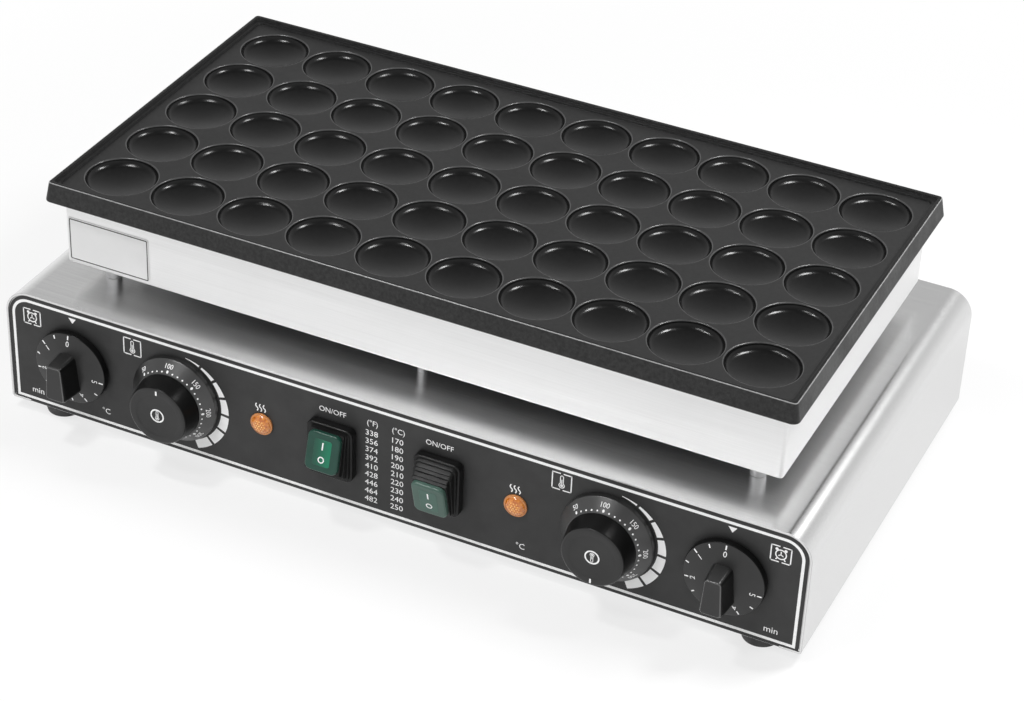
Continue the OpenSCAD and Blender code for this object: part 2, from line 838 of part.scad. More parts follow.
// Hexagon screws that hold the clamp bars
module clamp_screws() {
    color(c_metal)
    for (p = clamp_spots)
        translate([p.x, p.y, 0]) {
            hexagon(2 * (clamp_screw_r + 1.5), z_clamp - clamp_screw_r * 1.4, z_clamp);
            peg(clamp_screw_r, z_clamp - cut, z_under + clamp_bite - end_clr);
        }
}

// Studs from the plate's bosses down through the base's top sheet
module plate_studs() {
    color(c_metal)
    for (p = post_spots)
        translate([p.x, p.y, 0])
            peg(stud_r, z_base_in - stud_tail, z_under - boss_h + stud_bite - end_clr);
}

// Nuts under the base's top sheet
module stud_nuts() {
    color(c_metal)
    for (p = post_spots)
        translate([p.x, p.y, 0])
            difference() {
                hexagon(stud_nut_af, z_base_in - stud_nut_h, z_base_in);
                peg(stud_r + thread_clr, z_base_in - stud_nut_h - cut, z_base);
            }
}

// Spacer posts at the four corners
module support_posts() {
    color(c_steel)
    for (p = corner_spots)
        translate([p.x, p.y, 0])
            difference() {
                peg(post_r, z_base, z_skirt);
                peg(stud_hole_r, z_base - cut, z_skirt + cut);
            }
}

// Sleeve that takes the wires and capillaries from the base to the plate
module wiring_sleeve() {
    color(c_metal)
    difference() {
        peg(chase_r + chase_wall, z_base, z_shield);
        peg(chase_r, z_base - cut, z_shield + cut);
    }
}

// Base sheet folded over left side, top and right side
module housing_wrap() {
    color(c_steel)
    difference() {
        union() {
            difference() {
                along_y(y_front, -y_front)
                    translate([0, z_bottom])
                        arch(base_w, housing_h, bend_r);
                along_y(y_front - cut, cut - y_front)
                    translate([0, z_bottom - cut])
                        arch(base_w - 2 * wrap_t, housing_h - wrap_t + cut, bend_r - wrap_t);
            }
            for (s = sides)
                translate([s * (base_w - wrap_flange) / 2, 0, z_bottom + wrap_t / 2])
                    cube([wrap_flange, base_d - 2 * flange_relief, wrap_t], center = true);
            rear_tabs();
        }
        for (p = post_spots)
            translate([p.x, p.y, 0])
                peg(stud_hole_r, z_base_in - cut, z_base + cut);
        peg(chase_r, z_base_in - cut, z_base + cut);
        for (p = bottom_spots)
            translate([p.x, p.y, 0])
                peg(thread_r, z_bottom - cut, z_bottom + wrap_t + cut);
        for (p = rear_spots)
            rear_facing(p.x, p.y)
                peg(thread_r, -panel_t - wrap_t - cut, cut);
    }
}

// Tabs bent in behind the rear panel, each with a screw hole
module rear_tabs() {
    for (p = rear_spots)
        if (abs(p.x) > rear_screw_x)
            translate([sign(p.x) * (base_w - wrap_t - tab_size) / 2, y_rear_in - wrap_t / 2, p.y])
                cube([wrap_t + tab_size, wrap_t, tab_size], center = true);
        else
            translate([p.x, y_rear_in - wrap_t / 2, z_base - (wrap_t + tab_size) / 2])
                cube([tab_size, wrap_t, wrap_t + tab_size], center = true);
}

// Outline shared by the front and rear panels
module panel_outline() {
    translate([0, z_bottom])
        arch(panel_w, panel_top_h, panel_r);
}

// Holes for the controls, the same in panel and overlay
module control_holes() {
    for (s = sides) {
        for (x = [timer_x, stat_x])
            translate([s * x, z_control])
                circle(bush_hole_r);
        translate([s * lamp_x, z_control])
            circle(barrel_r + hole_clr);
        translate([s * switch_x, z_control])
            square([switch_body_w + 2 * hole_clr, switch_body_h + 2 * hole_clr], center = true);
        for (t = [-timer_screw_x, timer_screw_x])
            translate([s * timer_x + t, z_control])
                circle(hole_r);
        for (t = [-stat_screw_z, stat_screw_z])
            translate([s * stat_x, z_control + t])
                circle(hole_r);
    }
}

// Steel front panel with flanges at the bottom, the sides and the top
module front_panel() {
    color(c_steel)
    difference() {
        union() {
            along_y(y_panel, y_panel_back)
                panel_outline();
            bottom_flange(y_panel, y_panel + panel_flange);
            upper_flanges(y_panel, y_panel + panel_flange);
        }
        along_y(y_panel - cut, y_panel_back + cut)
            control_holes();
        for (p = bottom_spots)
            translate([p.x, p.y, 0])
                peg(thread_r, z_bottom - cut, z_bottom + panel_t + cut);
    }
}

// Bottom flange of a panel between the nuts of the feet, from y0 to y1
module bottom_flange(y0, y1) {
    reach = foot_x - foot_nut_af;
    translate([-reach, y0, z_bottom])
        cube([2 * reach, y1 - y0, panel_t]);
}

// Flanges along the sides and the top of a panel, from y0 to y1
module upper_flanges(y0, y1) {
    low = z_bottom + wrap_t + 2;
    high = z_bottom + panel_top_h - panel_r - 2;
    reach = base_w / 2 - bend_r - flange_end;
    translate([-reach, y0, z_bottom + panel_top_h - panel_t])
        cube([2 * reach, y1 - y0, panel_t]);
    for (s = sides)
        translate([s * (panel_w - panel_t) / 2, (y0 + y1) / 2, (low + high) / 2])
            cube([panel_t, y1 - y0, high - low], center = true);
}

// Printed plastic overlay on the front panel
module panel_overlay() {
    color("#3c3c3c")
    difference() {
        along_y(y_overlay, y_panel)
            translate([0, z_bottom + overlay_margin])
                arch(panel_w - 2 * overlay_margin, panel_top_h - 2 * overlay_margin,
                    panel_r - overlay_margin, overlay_low_r);
        along_y(y_overlay - cut, y_panel + cut)
            control_holes();
    }
}

// Rear panel with vents, screw holes, the gland's hole and a bottom flange
module rear_panel() {
    color(c_steel)
    difference() {
        union() {
            along_y(y_rear_in, y_rear)
                panel_outline();
            bottom_flange(y_rear - panel_flange, y_rear);
        }
        along_y(y_rear_in - cut, y_rear + cut)
            translate([0, z_control])
                vent_row();
        for (p = rear_spots)
            rear_facing(p.x, p.y)
                peg(hole_r, -panel_t - cut, cut);
        rear_facing(gland_x, z_bottom + gland_h)
            peg(gland_r + hole_clr, -panel_t - cut, cut);
        for (p = bottom_spots)
            translate([p.x, p.y, 0])
                peg(thread_r, z_bottom - cut, z_bottom + panel_t + cut);
    }
}

// Pan head screws through the rear panel into the tabs
module rear_panel_screws() {
    color(c_metal)
    for (p = rear_spots)
        rear_facing(p.x, p.y)
            pan_screw(screw_r, screw_head_r, screw_head_h, panel_t + wrap_t + 4);
}

// Flat bottom plate with two vent groups
module bottom_plate() {
    color("#b4b6b8")
    difference() {
        translate([0, 0, foot_h])
            slab(base_w - 2 * bottom_inset, base_d - 2 * bottom_inset, bottom_t, 3);
        translate([0, 0, foot_h - cut])
            linear_extrude(bottom_t + 2 * cut)
                vent_row();
        for (p = concat(bottom_spots, foot_spots))
            translate([p.x, p.y, 0])
                peg(hole_r, foot_h - cut, z_bottom + cut);
    }
}

// Screws from below into the wrap's and the panels' flanges
module bottom_plate_screws() {
    color(c_metal)
    for (p = bottom_spots)
        translate([p.x, p.y, foot_h])
            rotate([180, 0, 0])
                pan_screw(screw_r, screw_head_r, screw_head_h, bottom_t + wrap_t + 4);
}

// Tapered rubber feet with a recess for the screw
module rubber_feet() {
    color(c_rubber)
    for (p = foot_spots)
        translate([p.x, p.y, 0])
            difference() {
                cylinder(h = foot_h, r1 = foot_r - foot_taper, r2 = foot_r);
                peg(foot_recess_r, -cut, foot_h - foot_seat);
                peg(hole_r, -cut, foot_h + cut);
            }
}

// Screws through the feet
module foot_screws() {
    color(c_metal)
    for (p = foot_spots)
        translate([p.x, p.y, foot_h - foot_seat])
            rotate([180, 0, 0])
                pan_screw(screw_r, screw_head_r, screw_head_h, foot_seat + bottom_t + foot_nut_h + 1);
}

// Nuts on the bottom plate that hold the feet
module foot_nuts() {
    color(c_metal)
    for (p = foot_spots)
        translate([p.x, p.y, 0])
            difference() {
                hexagon(foot_nut_af, z_bottom, z_bottom + foot_nut_h);
                peg(thread_r, z_bottom - cut, z_bottom + foot_nut_h + cut);
            }
}

// Terminal blade that stands out of the back of a control
module terminal_blade() {
    translate([0, 0, (cut - blade_l) / 2])
        cube([blade_t, blade_w, blade_l + cut], center = true);
}

// Bush and blind bore that carry a control's shaft
module shaft_bush(depth) {
    difference() {
        union() {
            children();
            peg(bush_r, h_panel_back - cut, h_overlay + bush_out);
        }
        peg(shaft_r + run_clr, depth, h_overlay + bush_out + cut);
    }
}

// Clockwork timer behind the panel
module timer_body(side) {
    back = h_panel_back - timer_plate_t - timer_can_l;
    color(c_metal)
    facing(side * timer_x)
        difference() {
            shaft_bush(h_panel_back - timer_bore) {
                translate([0, 0, h_panel_back - timer_plate_t])
                    slab(timer_plate_w, timer_plate_h, timer_plate_t, 3);
                peg(timer_can_r, back, h_panel_back - timer_plate_t + 0.5);
            }
            for (x = [-timer_screw_x, timer_screw_x])
                translate([x, 0, 0])
                    peg(thread_r, h_panel_back - control_bite, h_panel_back + cut);
        }
}

// Screws that hold the timers, hidden under their dials
module timer_screws() {
    color(c_metal)
    for (s = sides, x = [-timer_screw_x, timer_screw_x])
        facing(s * timer_x + x)
            translate([0, 0, h_overlay])
                pan_screw(screw_r, screw_head_r, screw_head_h,
                    h_overlay - h_panel_back + control_bite - end_clr);
}

// Shaft with a flat, from deep in its bore to the end of the knob's blind hole
module control_shaft(depth, tip) {
    difference() {
        peg(shaft_r, depth + end_clr, tip - end_clr);
        translate([shaft_r - shaft_flat, -shaft_r, h_overlay + bush_out + knob_clr])
            cube([shaft_r, 2 * shaft_r, tip]);
    }
}

// Blind hole in a knob that fits the shaft and its flat
module shaft_socket(tip) {
    difference() {
        peg(shaft_r + thread_clr, h_overlay, tip);
        translate([shaft_r - shaft_flat + thread_clr, -shaft_r - cut, h_overlay - cut])
            cube([shaft_r + cut, 2 * (shaft_r + cut), tip - h_overlay + 2 * cut]);
    }
}

module timer_shaft(side) {
    color(c_steel)
    facing(side * timer_x)
        control_shaft(h_panel_back - timer_bore, timer_reach - socket_cover);
}

// Hollow dial with a tapered bar grip
module timer_knob(side) {
    back = h_overlay + bush_out + knob_clr;
    color(c_black)
    facing(side * timer_x)
        difference() {
            union() {
                rotate_extrude()
                    polygon([
                        [0, dial_h + dial_crown], [hub_r + 6, dial_h + dial_crown],
                        [dial_r - 0.8, dial_h], [dial_r, dial_h - 0.8],
                        [dial_r, h_overlay + knob_clr + 0.6],
                        [dial_r - knob_wall, h_overlay + knob_clr + 0.6],
                        [dial_r - knob_wall, dial_h - knob_wall], [hub_r, dial_h - knob_wall],
                        [hub_r, back], [0, back]
                    ]);
                timer_grip();
            }
            shaft_socket(timer_reach - socket_cover);
        }
}

// Bar grip: wide at the dial, narrower at its front, longer below the axis than above
module timer_grip() {
    edge = 1;
    middle = (grip_high - grip_low) / 2;
    length = grip_high + grip_low;
    hull($fn = 32) {
        translate([0, middle, dial_h])
            slab(grip_w, length + 1.6, edge, grip_r + 1);
        translate([0, middle, timer_reach - 2 * edge])
            slab(grip_tip_w, length, edge, grip_r);
        translate([0, middle, timer_reach - edge])
            slab(grip_tip_w - 2 * edge, length - 2 * edge, edge, grip_r - edge);
    }
}

// Capillary thermostat behind the panel
module thermostat_body(side) {
    back = h_panel_back - stat_body_l;
    color("#7d7f82")
    facing(side * stat_x)
        difference() {
            shaft_bush(h_panel_back - stat_bore) {
                translate([0, 0, h_panel_back - stat_plate_t])
                    slab(stat_body_w, stat_body_h, stat_plate_t, 3);
                translate([0, 0, back])
                    slab(stat_body_w - 4, stat_body_h - 4, stat_body_l - stat_plate_t + 0.5, 4);
                for (x = [-8, 8])
                    translate([x, -8, back])
                        terminal_blade();
            }
            for (y = [-stat_screw_z, stat_screw_z])
                translate([0, y, 0])
                    peg(thread_r, h_panel_back - control_bite, h_panel_back + cut);
        }
}

// Screws on the scale rings' floors that hold ring and thermostat
module thermostat_screws() {
    seat = h_overlay + bezel_floor;
    color(c_metal)
    for (s = sides, y = [-stat_screw_z, stat_screw_z])
        facing(s * stat_x)
            translate([0, y, seat])
                pan_screw(screw_r, screw_head_r, screw_head_h,
                    seat - h_panel_back + control_bite - end_clr);
}

// Sensing bulb under the plate and its capillary down to the thermostat
module thermostat_sensor(side) {
    z_entry = z_control + capillary_rise;
    y_entry = y_panel_back + stat_body_l;
    r = capillary_bend;
    color("#b98a5a") {
        translate([side * bulb_x, 0, z_bulb])
            rotate([0, side * 90, 0])
                cylinder(h = bulb_l, d = bulb_d);
        bent_rod([
            [side * bulb_x, 0, z_bulb],
            [side * capillary_x, 0, z_bulb],
            [side * capillary_x, 0, z_entry],
            [side * capillary_x, capillary_y, z_entry],
            [side * stat_x, capillary_y, z_entry],
            [side * stat_x, y_entry, z_entry]
        ], [r, r, r, r], capillary_d);
    }
}

// Fixed conical scale ring around the thermostat knob
module thermostat_bezel(side) {
    color(c_black)
    facing(side * stat_x)
        difference() {
            rotate_extrude()
                polygon([
                    [bush_hole_r, h_overlay], [bezel_r, h_overlay],
                    [bezel_r, bezel_rim_h], [bezel_top_r, bezel_top_h],
                    [bezel_top_r - bezel_wall, bezel_top_h],
                    [bezel_top_r - bezel_wall, bezel_top_h - 0.4 * bezel_wall],
                    [bezel_r - bezel_wall, bezel_rim_h - 0.4 * bezel_wall],
                    [bezel_r - bezel_wall, h_overlay + bezel_floor],
                    [bush_hole_r, h_overlay + bezel_floor]
                ]);
            for (y = [-stat_screw_z, stat_screw_z])
                translate([0, y, 0])
                    peg(hole_r, h_overlay - cut, bezel_top_h);
        }
}

module thermostat_shaft(side) {
    color(c_steel)
    facing(side * stat_x)
        control_shaft(h_panel_back - stat_bore, stat_reach - socket_cover);
}

// Hollow round knob with a dished front and an index groove: up on the left, down on the right
module thermostat_knob(side) {
    back = h_overlay + bush_out + knob_clr;
    skirt = bezel_top_h + knob_clr;
    top = stat_reach;
    inner = top - cap_dish - knob_wall;
    ring_r = cap_r - cap_edge_r;
    base_r = bezel_top_r - 0.3;
    color(c_black)
    facing(side * stat_x)
        difference() {
            rotate_extrude()
                polygon(concat(
                    [[0, top - cap_dish], [ring_r - cap_ring_w - cap_dish, top - cap_dish]],
                    [[ring_r - cap_ring_w, top]],
                    [for (a = [0:15:90]) [ring_r + cap_edge_r * sin(a), top - cap_edge_r * (1 - cos(a))]],
                    [[base_r, skirt], [base_r - knob_wall, skirt], [cap_r - knob_wall, inner]],
                    [[hub_r, inner], [hub_r, back], [0, back]]
                ));
            shaft_socket(top - socket_cover);
            translate([0, -side * (ring_r - cap_ring_w + cap_r) / 2, top])
                cube([1.2, cap_r - ring_r + cap_ring_w, 0.8], center = true);
        }
}

// Frame and body of a rocker switch, with bores for the key's pivot pins
module switch_body(side) {
    throat_w = neck_w + 2 * throat_clr;
    throat_h = neck_h + 6;
    throat_floor = frame_reach - 2.5;
    hollow_w = switch_body_w - 2 * switch_wall;
    hollow_h = switch_body_h - 2 * switch_wall;
    color(c_black)
    facing(side * switch_x)
        difference() {
            union() {
                translate([0, 0, h_overlay])
                    slab(frame_w, frame_h, frame_reach - h_overlay, frame_r);
                translate([0, 0, -switch_body_l])
                    slab(switch_body_w, switch_body_h, switch_body_l, 1);
                for (x = [-switch_blade_x, switch_blade_x], y = [-switch_blade_y, 0, switch_blade_y])
                    translate([x, y, -switch_body_l])
                        terminal_blade();
            }
            translate([0, 0, throat_floor])
                slab(throat_w, throat_h, frame_reach, 2);
            translate([0, 0, -switch_hollow])
                slab(hollow_w, hollow_h, switch_hollow + throat_floor + cut, 1);
            translate([-hollow_w / 2 - 1.4, 0, -pivot_depth])
                rotate([0, 90, 0])
                    cylinder(h = hollow_w + 2.8, r = pivot_r + run_clr);
        }
}

// Rubber boot between frame and pad: folds that lean further the nearer they are to the key's pad,
// joined by grooved walls
module switch_boot(side) {
    tilt = side * rock_angle;
    foot = pivot_depth + frame_reach;
    top = pad_reach - pad_t - boot_h - 0.1;
    reach = pad_w + frame_w;
    function mix(a, b, t) = a + (b - a) * t;
    function fold_w(t) = mix(frame_w - 2 * boot_inset, pad_w + 2 * boot_brim, t);
    function fold_d(t) = mix(frame_h - 2 * boot_inset, pad_h + 2 * boot_brim, t);
    function fold_r(t) = mix(frame_r - 1, pad_r, t);
    color(c_rubber)
    facing(side * switch_x)
        translate([0, 0, -pivot_depth])
            difference() {
                union() {
                    for (i = [0 : boot_folds - 1]) {
                        t = i / (boot_folds - 1);
                        rotate([t * tilt, 0, 0])
                            translate([0, 0, mix(foot, top, t)])
                                slab(fold_w(t), fold_d(t), boot_h, fold_r(t));
                    }
                    for (i = [0 : boot_folds - 2]) {
                        t0 = i / (boot_folds - 1);
                        t1 = (i + 1) / (boot_folds - 1);
                        t = (t0 + t1) / 2;
                        intersection() {
                            rotate([t * tilt, 0, 0])
                                slab(fold_w(t) - 2 * boot_groove, fold_d(t) - 2 * boot_groove,
                                    2 * pad_reach, fold_r(t));
                            rotate([t0 * tilt, 0, 0])
                                translate([-reach / 2, -reach / 2, mix(foot, top, t0)])
                                    cube([reach, reach, pad_reach]);
                            rotate([t1 * tilt, 0, 0])
                                translate([-reach / 2, -reach / 2, mix(foot, top, t1) + boot_h - pad_reach])
                                    cube([reach, reach, pad_reach]);
                        }
                    }
                }
                rotate([tilt, 0, 0])
                    slab(neck_w + 2 * boot_clr, neck_h + 2 * boot_clr, pad_reach, 2);
                intersection() {
                    rotate([tilt / 2, 0, 0])
                        slab(neck_w + 2 * throat_clr, neck_h + 3, pad_reach, 2);
                    rotate([tilt, 0, 0])
                        translate([-reach / 2, -reach / 2, top - pad_reach])
                            cube([reach, reach, pad_reach]);
                }
            }
}

// Rocker key: pressed in at the top on the left, at the bottom on the right
module switch_rocker(side) {
    hollow_w = switch_body_w - 2 * switch_wall;
    color("#3f6a5a")
    facing(side * switch_x)
        translate([0, 0, -pivot_depth])
            rotate([side * rock_angle, 0, 0]) {
                translate([0, 0, pad_reach - pad_t])
                    slab(pad_w, pad_h, pad_t, pad_r);
                translate([0, 0, pad_reach - pad_t - neck_t])
                    slab(neck_w, neck_h, neck_t, 2);
                slab(stem_w, stem_w, pad_reach - pad_t - neck_t, 1.5);
                translate([-hollow_w / 2 - 1.2, 0, 0])
                    rotate([0, 90, 0])
                        cylinder(h = hollow_w + 2.4, r = pivot_r);
            }
}

// Amber lens with a domed front and a barrel through the panel
module lamp_lens(side) {
    cap_sphere = (dome_r * dome_r + dome_h * dome_h) / (2 * dome_h);
    color("#c8742c")
    facing(side * lamp_x) {
        peg(barrel_r, -barrel_l, h_overlay + cut / 2);
        peg(lens_r, h_overlay, lens_rim_h);
        rotate_extrude()
            intersection() {
                translate([0, lens_rim_h - 0.2])
                    square([dome_r, dome_h + 0.2]);
                translate([0, lens_rim_h + dome_h - cap_sphere])
                    circle(cap_sphere);
            }
    }
}

// Lamp holder behind the panel
module lamp_body(side) {
    back = h_panel_back - lamp_l;
    color("#e6e2d6")
    facing(side * lamp_x) {
        difference() {
            peg(lamp_r, back, h_panel_back);
            peg(barrel_r + thread_clr, -barrel_l - end_clr, h_panel_back + cut);
        }
        for (x = [-3, 3])
            translate([x, 0, back])
                terminal_blade();
    }
}

// Ceramic terminal block on the bottom plate, behind the gland
module terminal_block() {
    way = block_w / block_ways;
    color("#e9e6dc")
    translate([gland_x, y_rear_in - block_gap - block_d / 2, z_bottom])
        difference() {
            slab(block_w, block_d, block_h, 1.5);
            for (i = [0:block_ways - 1])
                translate([(i - (block_ways - 1) / 2) * way, 0, block_h * 0.55]) {
                    rotate([90, 0, 0])
                        cylinder(h = block_d + 2 * cut, r = 2.6, center = true);
                    for (y = [-block_d / 4, block_d / 4])
                        translate([0, y, 0])
                            cylinder(h = block_h, r = 2.2);
                }
        }
}

// Earth stud with its nut, standing on the bottom plate
module earth_stud() {
    x = gland_x - block_w / 2 - earth_gap;
    nut_z = z_bottom + 5;
    color("#b59a4a")
    translate([x, y_rear_in - block_gap, 0]) {
        peg(earth_r, z_bottom, z_bottom + earth_l);
        difference() {
            hexagon(4 * earth_r - 2, nut_z - 5, nut_z);
            peg(earth_r + thread_clr, z_bottom - cut, nut_z + cut);
        }
    }
}

// Gland through the rear panel: hexagon flange, thread inside, clamping neck outside
module cable_gland_body() {
    neck = gland_flange + gland_neck_l;
    color(c_black)
    rear_facing(gland_x, z_bottom + gland_h)
        difference() {
            union() {
                hexagon(gland_af, 0, gland_flange);
                peg(gland_neck_r, gland_flange - cut, neck);
                peg(gland_r, -panel_t - gland_tail, cut);
            }
            peg(lead_r + hole_clr, -panel_t - gland_tail - cut, neck + cut);
            peg(lead_r + seal_wall, gland_flange - 1, neck + cut);
        }
}

// Dome nut that closes the gland's neck on the lead
module cable_gland_nut() {
    neck = gland_flange + gland_neck_l;
    tip = gland_reach + panel_inset;
    start = gland_flange + 0.3;
    color(c_black)
    rear_facing(gland_x, z_bottom + gland_h)
        difference() {
            rotate_extrude()
                polygon([
                    [lead_r + hole_clr, neck + 0.3], [gland_neck_r + thread_clr, neck + 0.3],
                    [gland_neck_r + thread_clr, start], [gland_dome_r, start],
                    [gland_dome_r, neck], [gland_dome_r - 1.5, neck + 3],
                    [lead_r + 3.5, tip - 1], [lead_r + 2.5, tip], [lead_r + hole_clr, tip]
                ]);
            for (i = [0:7])
                rotate([0, 0, 45 * i])
                    translate([gland_dome_r + 0.9, 0, start - cut])
                        cylinder(h = gland_neck_l + cut, r = 1.6);
        }
}

// Rubber ring that grips the lead
module cable_gland_seal() {
    neck = gland_flange + gland_neck_l;
    color(c_rubber)
    rear_facing(gland_x, z_bottom + gland_h)
        difference() {
            peg(lead_r + seal_wall - thread_clr, gland_flange - 1, neck + 0.2);
            peg(lead_r, gland_flange - 2, neck + cut);
        }
}

// Lock nut inside the rear panel
module cable_gland_locknut() {
    color(c_black)
    rear_facing(gland_x, z_bottom + gland_h)
        difference() {
            hexagon(gland_af, -panel_t - gland_flange, -panel_t);
            peg(gland_r + thread_clr, -panel_t - gland_flange - cut, cut);
        }
}

baking_plate();
plate_skirt();
heat_shield();
insulation_blanket();
heating_element(left);  // heating_element_left
heating_element(right);  // heating_element_right
element_clamps();
clamp_screws();
plate_studs();
stud_nuts();
support_posts();
wiring_sleeve();
housing_wrap();
front_panel();
panel_overlay();
rear_panel();
rear_panel_screws();
bottom_plate();
bottom_plate_screws();
rubber_feet();
foot_screws();
foot_nuts();
timer_body(left);  // timer_body_left
timer_body(right);  // timer_body_right
timer_screws();
timer_shaft(left);  // timer_shaft_left
timer_shaft(right);  // timer_shaft_right
timer_knob(left);  // timer_knob_left
timer_knob(right);  // timer_knob_right
thermostat_body(left);  // thermostat_body_left
thermostat_body(right);  // thermostat_body_right
thermostat_screws();
thermostat_sensor(left);  // thermostat_sensor_left
thermostat_sensor(right);  // thermostat_sensor_right
thermostat_bezel(left);  // thermostat_bezel_left
thermostat_bezel(right);  // thermostat_bezel_right
thermostat_shaft(left);  // thermostat_shaft_left
thermostat_shaft(right);  // thermostat_shaft_right
thermostat_knob(left);  // thermostat_knob_left
thermostat_knob(right);  // thermostat_knob_right
switch_body(left);  // switch_body_left
switch_body(right);  // switch_body_right
switch_boot(left);  // switch_boot_left
switch_boot(right);  // switch_boot_right
switch_rocker(left);  // switch_rocker_left
switch_rocker(right);  // switch_rocker_right
lamp_lens(left);  // lamp_lens_left
lamp_lens(right);  // lamp_lens_right
lamp_body(left);  // lamp_body_left
lamp_body(right);  // lamp_body_right
terminal_block();
earth_stud();
cable_gland_body();
cable_gland_nut();
cable_gland_seal();
cable_gland_locknut();
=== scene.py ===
import math

import bmesh
import bpy
from mathutils import Matrix, Vector


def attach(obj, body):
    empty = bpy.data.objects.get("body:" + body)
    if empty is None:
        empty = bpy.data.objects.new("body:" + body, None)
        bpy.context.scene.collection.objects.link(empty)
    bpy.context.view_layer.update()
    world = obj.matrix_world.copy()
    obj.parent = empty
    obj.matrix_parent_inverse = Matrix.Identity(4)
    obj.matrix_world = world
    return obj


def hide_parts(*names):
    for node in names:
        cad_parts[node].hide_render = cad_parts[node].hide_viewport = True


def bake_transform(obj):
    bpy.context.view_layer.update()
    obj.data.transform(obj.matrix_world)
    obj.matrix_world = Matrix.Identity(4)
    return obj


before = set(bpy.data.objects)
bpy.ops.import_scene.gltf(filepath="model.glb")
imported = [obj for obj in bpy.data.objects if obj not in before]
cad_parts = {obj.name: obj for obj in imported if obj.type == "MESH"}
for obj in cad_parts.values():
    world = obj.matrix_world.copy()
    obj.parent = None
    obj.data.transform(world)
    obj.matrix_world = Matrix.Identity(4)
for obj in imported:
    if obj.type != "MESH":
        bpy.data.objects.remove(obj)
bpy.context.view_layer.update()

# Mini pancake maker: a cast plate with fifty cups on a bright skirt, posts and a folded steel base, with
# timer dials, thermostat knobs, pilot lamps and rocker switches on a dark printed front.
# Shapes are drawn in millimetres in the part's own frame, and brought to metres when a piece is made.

scene = bpy.context.scene
scene.view_settings.view_transform = "Standard"

MM = 0.001
SIDES = (("left", -1), ("right", 1))

# Places of the controls on the front, from the middle of the machine. Their heights count from FRONT_Y,
# so the film that they sit on is at SEAT.
TIMER_X, STAT_X, LAMP_X, SWITCH_X, AXIS_Z = 220.509, 145.989, 85.995, 35.991, 49.0
FRONT_Y, FILM_Y = -145.0, -144.5
SEAT = FRONT_Y - FILM_Y

# Base, skirt and plate: widths, depths and heights over the floor
BASE_W, BASE_D, BASE_TOP, BASE_LOW = 540.0, 290.0, 90.5, 8.0
BASE_SHEET, BASE_BEND, BASE_FLANGE = 1.5, 17, 14
SKIRT_W, SKIRT_D, SKIRT_LOW, SKIRT_TOP = 478.0, 239.0, 105.5, 152.3
SKIRT_SHEET, SKIRT_BEND, SKIRT_CORNER, SKIRT_FLANGE = 1.2, 1.6, 2.6, 32
PLATE_W, PLATE_D, PLATE_TOP, LEDGE, SURFACE = 495.0, 260.0, 165.0, 163.2, 161.5
POST_X, POST_Y, POST_R = 218, 100, 5
FOOT_X, FOOT_Y, FOOT_H = 240, 130, 7

# Cups: number, spacing, depth, bend of the wall and distance of the bend's centre from the axis, and the radius
# of the dished floor that runs into the bend smoothly
CUP_COLUMNS, CUP_ROWS = 10, 5
CUP_PITCH_X, CUP_PITCH_Y = 47.2, 47.4
CUP_DEPTH, CUP_BEND, BEND_CENTRE = 7.0, 5.0, 17.5
CUP_DISH = (BEND_CENTRE ** 2 + CUP_DEPTH ** 2 - CUP_BEND ** 2) / (2 * (CUP_DEPTH - CUP_BEND))

# Timer dial: its radius, the radius of its flat middle, the heights of middle and edge, and the fall between
DIAL_R, DIAL_FLAT, DIAL_TOP, DIAL_EDGE = 25.3, 12.5, 8.6, 5.6
DIAL_FALL = (DIAL_TOP - DIAL_EDGE) / (DIAL_R - DIAL_FLAT)

# Scale ring: radius and height at the top and at the foot of its slope. Knob: its rim, and the face sunk in it
RING_TOP, RING_FOOT = (22.5, 10.7), (29.6, 3.7)
SLOPE = (Vector(RING_FOOT) - Vector(RING_TOP)).normalized()
KNOB_R, KNOB_RIM, KNOB_FACE = 19.8, 23.9, 23.4

# Rocker switch: height of its frame, depth of the key's pivot behind FRONT_Y, lean of the key in degrees, and
# the underside and top of the key's pad over the pivot
SWITCH_FRAME_H, PIVOT, KEY_LEAN = 6, 3.5, 15
PAD_LOW, PAD_TOP = 16, 19

# Thickness of printing
INK = 0.07


# Shaping

def only(geometry, kind):
    """Points or faces among what an operator gives back."""
    return [each for each in geometry if isinstance(each, kind)]


def paint_faces(faces, index):
    """Give faces one of their piece's finishes."""
    for face in faces:
        face.material_index = index


def loops_of(faces):
    """Edges around a group of faces."""
    return [e for e in {e for f in faces for e in f.edges} if sum(f in faces for f in e.link_faces) == 1]


def soften(bm, size, segments=2, sharper=30.0, edges=None):
    """Round the given edges, or all whose faces meet at more than an angle, and return the new faces."""
    if edges is None:
        edges = [e for e in bm.edges if len(e.link_faces) == 2
                 and e.calc_face_angle(0.0) > math.radians(sharper)]
    return bmesh.ops.bevel(bm, geom=edges, offset=size, offset_type="OFFSET", segments=segments, profile=0.5,
                           affect="EDGES", clamp_overlap=True, material=-1)["faces"]


def close_up(bm):
    """Merge doubled points and turn the faces outwards."""
    bmesh.ops.remove_doubles(bm, verts=bm.verts, dist=1e-4)
    bmesh.ops.recalc_face_normals(bm, faces=bm.faces)
    return bm


def rounded_sheet(w, d, corner, z=0.0, segments=6):
    """Flat sheet with round corners."""
    bm = bmesh.new()
    ends = [bm.verts.new((x * w / 2, y * d / 2, z)) for x, y in ((-1, -1), (1, -1), (1, 1), (-1, 1))]
    bm.faces.new(ends)
    if corner > 0:
        bmesh.ops.bevel(bm, geom=ends, offset=corner, offset_type="OFFSET", segments=segments,
                        profile=0.5, affect="VERTICES", clamp_overlap=False, material=-1)
    return bm


